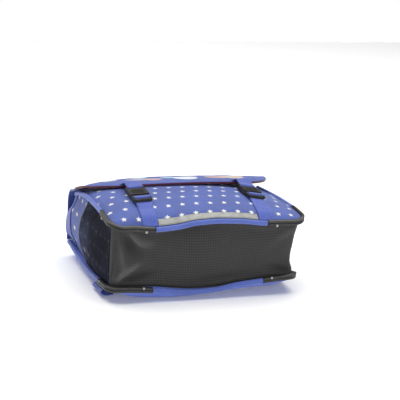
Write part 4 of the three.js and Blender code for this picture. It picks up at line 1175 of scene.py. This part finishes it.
# Shoulder straps, harness, tabs and handle
def add_pad(name, sign):
    """A padded shoulder strap under the bag, with its two rows of stitches."""
    share, along = grid(36, 96)
    centre = PAD_END + (PAD_PLACE - PAD_END) * along
    side = share * 2 - 1
    end = np.minimum(along, 1 - along) * PAD_LENGTH
    soft = np.sqrt(np.clip(1 - np.abs(side) ** 6, 0, 1)) * np.sqrt(ease(end, -1, 7))
    channel = 1 - 0.12 * bump((np.abs(side) - PAD_CHANNEL) / 0.06)
    half = PAD_THICK / 2
    x = sign * (centre + PAD_WIDTH / 2 * side)
    y = PAD_NEAR + PAD_LENGTH * along
    top = stack(x, y, half + half * soft * channel)
    under = stack(x, y, half - half * soft)
    pad = skin(f"shoulder_pad_{name}", top, under, BLUE_WITH_PAINTED_LIGHT,
               cloth_uv(side * PAD_WIDTH / 2, along * PAD_LENGTH), "blue_cloth", [f"shoulder_strap_{name}"])
    for row, place in (("inner", -PAD_CHANNEL), ("outer", PAD_CHANNEL)):
        spot = np.linspace(PAD_STITCH_IN, PAD_LENGTH - PAD_STITCH_IN, 80)
        middle = PAD_END + (PAD_PLACE - PAD_END) * spot / PAD_LENGTH
        points = stack(sign * (middle + PAD_WIDTH / 2 * place), PAD_NEAR + spot, 0.25 + 0 * spot)
        stitches(f"pad_stitches_{name}_{row}", points, np.tile((0, 0, -1.0), (80, 1)), THREAD)


def add_harness(name, sign):
    """The webbing between a pad's end and its tab, with its ladder lock."""
    anchor, _ = TABS[name]
    start, end = np.array([PAD_END, PAD_NEAR - SEAM_GAP]), np.array([HARNESS_ANCHOR, anchor])
    pull = unit(end - start)
    run, loop = np.linspace(0, 1, 60)[:, None], circle(20)
    turn, point = ease(run, 0, 0.4), start + (end - start) * run
    off = HARNESS_WIDTH / 2 * squared(np.cos(loop), 0.25)
    rise = SEAM_GAP + WEBBING * (0.5 + 0.5 * squared(np.sin(loop), 0.4))
    rings = stack(sign * (point[:, :1] + off * (1 - turn - pull[1] * turn)),
                  point[:, 1:] + off * pull[0] * turn, rise)
    sweep(f"harness_web_{name}", rings, WEB, [f"strap_webbing_{name}"], rounded=False)
    bevelled_copy(f"strap_adjuster_{name}", f"ladder_lock_{name}", LOCK_BEVEL)


def add_tab(name, sign):
    """The tab that carries the webbing up to the edge of the back."""
    anchor, bulge = TABS[name]
    seam_x, foot_x = HALF_WIDTH - BINDING_DEPTH / 2, HARNESS_ANCHOR + HARNESS_WIDTH / 2 + SEAM_GAP
    share, along = grid(24, 60)
    width = HARNESS_WIDTH + (TAB_SEAM - HARNESS_WIDTH) * ease(along, 0, 0.6)
    y = anchor + width * (share - 0.5)
    middle_x, middle_y, _, _ = outline(sign * outline_length(y), BINDING_DEPTH)
    tall = (back_face(middle_x, middle_y) + BACK_PADDING / 2
            - GUARD_HEIGHT / 2 - SEAT_GAP - CLOTH)
    turn = along * math.pi / 2

    def tab(through):
        out = np.sin(turn) * (1 - through * CLOTH / (seam_x - foot_x))
        rise = (tall - SEAM_GAP) * (1 - np.cos(turn))
        belly = bulge * np.sin(math.pi * along * along)
        return stack(sign * (foot_x + (seam_x - foot_x) * out + belly), y,
                     SEAM_GAP + rise + CLOTH * through)

    skin(f"seam_tab_{name}", tab(1), tab(0), WEB, cloth_uv(along * TAB_CLOTH, width * (share - 0.5)),
         "blue_webbing", [f"strap_tab_{name}"])


def add_shoulder_straps():
    for name, sign in SIDES:
        add_pad(name, sign)
        add_harness(name, sign)
        add_tab(name, sign)


def add_handle():
    foot, reach = HALF_HEIGHT + SEAM_GAP, HANDLE_REACH - HANDLE_THICK / 2
    turn = circle(24)
    out = HANDLE_THICK / 2 * squared(np.cos(turn), 0.6)
    up = SEAT_GAP + HANDLE_WIDTH * (0.5 + 0.5 * squared(np.sin(turn), 0.3))
    along = math.pi * np.linspace(0, 1, 90)[:, None]
    rings = stack(-(HANDLE_SPAN / 2 + out) * np.cos(along), foot + (reach + out) * np.sin(along), up)
    sweep("carry_handle", rings, WEB, ["handle"], rounded=False)


# Camera, floor and light, from the photograph
CAMERA_AZIMUTH, CAMERA_ELEVATION, CAMERA_ROLL = (math.radians(a) for a in (20.53, 18.77, 3.55))
CAMERA_DISTANCE = 2.60
FOCAL_PIXELS, IMAGE_SIZE = 1439, 400
ORIGIN_PIXEL = (209.36, 287.25)
FLOOR_REACH = 2.6
# White round the horizon, dimmer above, as in a light tent: heights from and to, then strengths
SKY = (0.07, 0.12, 1.0, 0.16)
# name, place, size, power
LIGHTS = (("softbox", (0.1, 0.5, 3.0), 4.4, 176), ("front", (0.4, -3.2, 0.9), 1.4, 15))


def add_camera():
    a, e, r = CAMERA_AZIMUTH, CAMERA_ELEVATION, CAMERA_ROLL
    back = Vector((-math.sin(a) * math.cos(e), -math.cos(a) * math.cos(e), math.sin(e)))
    right = Vector((math.cos(a), -math.sin(a), 0))
    up = back.cross(right)
    right, up = right * math.cos(r) + up * math.sin(r), up * math.cos(r) - right * math.sin(r)
    origin = Vector((SHIFT[0], SHIFT[1] - HALF_HEIGHT, BACK_LIFT - 2)) * MM
    eye = origin + back * CAMERA_DISTANCE
    aim = (-back + right * ((IMAGE_SIZE / 2 - ORIGIN_PIXEL[0]) / FOCAL_PIXELS)
           - up * ((IMAGE_SIZE / 2 - ORIGIN_PIXEL[1]) / FOCAL_PIXELS)).normalized()
    right = (right - aim * right.dot(aim)).normalized()
    up = right.cross(aim)
    basis = Matrix((right, up, -aim)).transposed()
    data = bpy.data.cameras.new("camera")
    data.sensor_width = 36
    data.lens = FOCAL_PIXELS / IMAGE_SIZE * data.sensor_width
    camera = link("camera", data)
    camera.matrix_world = Matrix.Translation(eye) @ basis.to_4x4()
    bpy.context.scene.camera = camera


def add_light(name, place, size, power):
    data = bpy.data.lights.new(name, "AREA")
    data.size, data.energy = size, power
    light = link(name, data)
    light.location = place
    light.rotation_euler = (-Vector(place)).to_track_quat("-Z", "Y").to_euler()


def add_studio():
    floor, reach = bpy.data.meshes.new("floor"), FLOOR_REACH
    corners = [(-reach, -reach, 0), (reach, -reach, 0), (reach, reach, 0), (-reach, reach, 0)]
    floor.from_pydata(corners, [], [(0, 1, 2, 3)])
    floor.materials.append(Graph("floor", (0.94, 0.94, 0.94), 0.9, specular=0.0, emission=0.12).material)
    obj = link("floor", floor)
    world = bpy.data.worlds.new("studio")
    world.use_nodes = True
    nodes, links = world.node_tree.nodes, world.node_tree.links
    split, height = nodes.new("ShaderNodeSeparateXYZ"), nodes.new("ShaderNodeMapRange")
    links.new(nodes.new("ShaderNodeTexCoord").outputs["Generated"], split.inputs[0])
    links.new(split.outputs[2], height.inputs[0])
    for number, value in enumerate(SKY, 1):
        height.inputs[number].default_value = value
    nodes["Background"].inputs[0].default_value = (1, 1, 1, 1)
    links.new(height.outputs[0], nodes["Background"].inputs[1])
    bpy.context.scene.world = world
    for light in LIGHTS:
        add_light(*light)
    bpy.context.scene.view_settings.view_transform = "Standard"


for build in (add_camera, add_panels, add_gussets, add_seam_cover, add_bindings, add_rivets, add_flap,
              add_straps, add_strip, add_shoulder_straps, add_handle, add_studio):
    build()

bpy.context.view_layer.update()
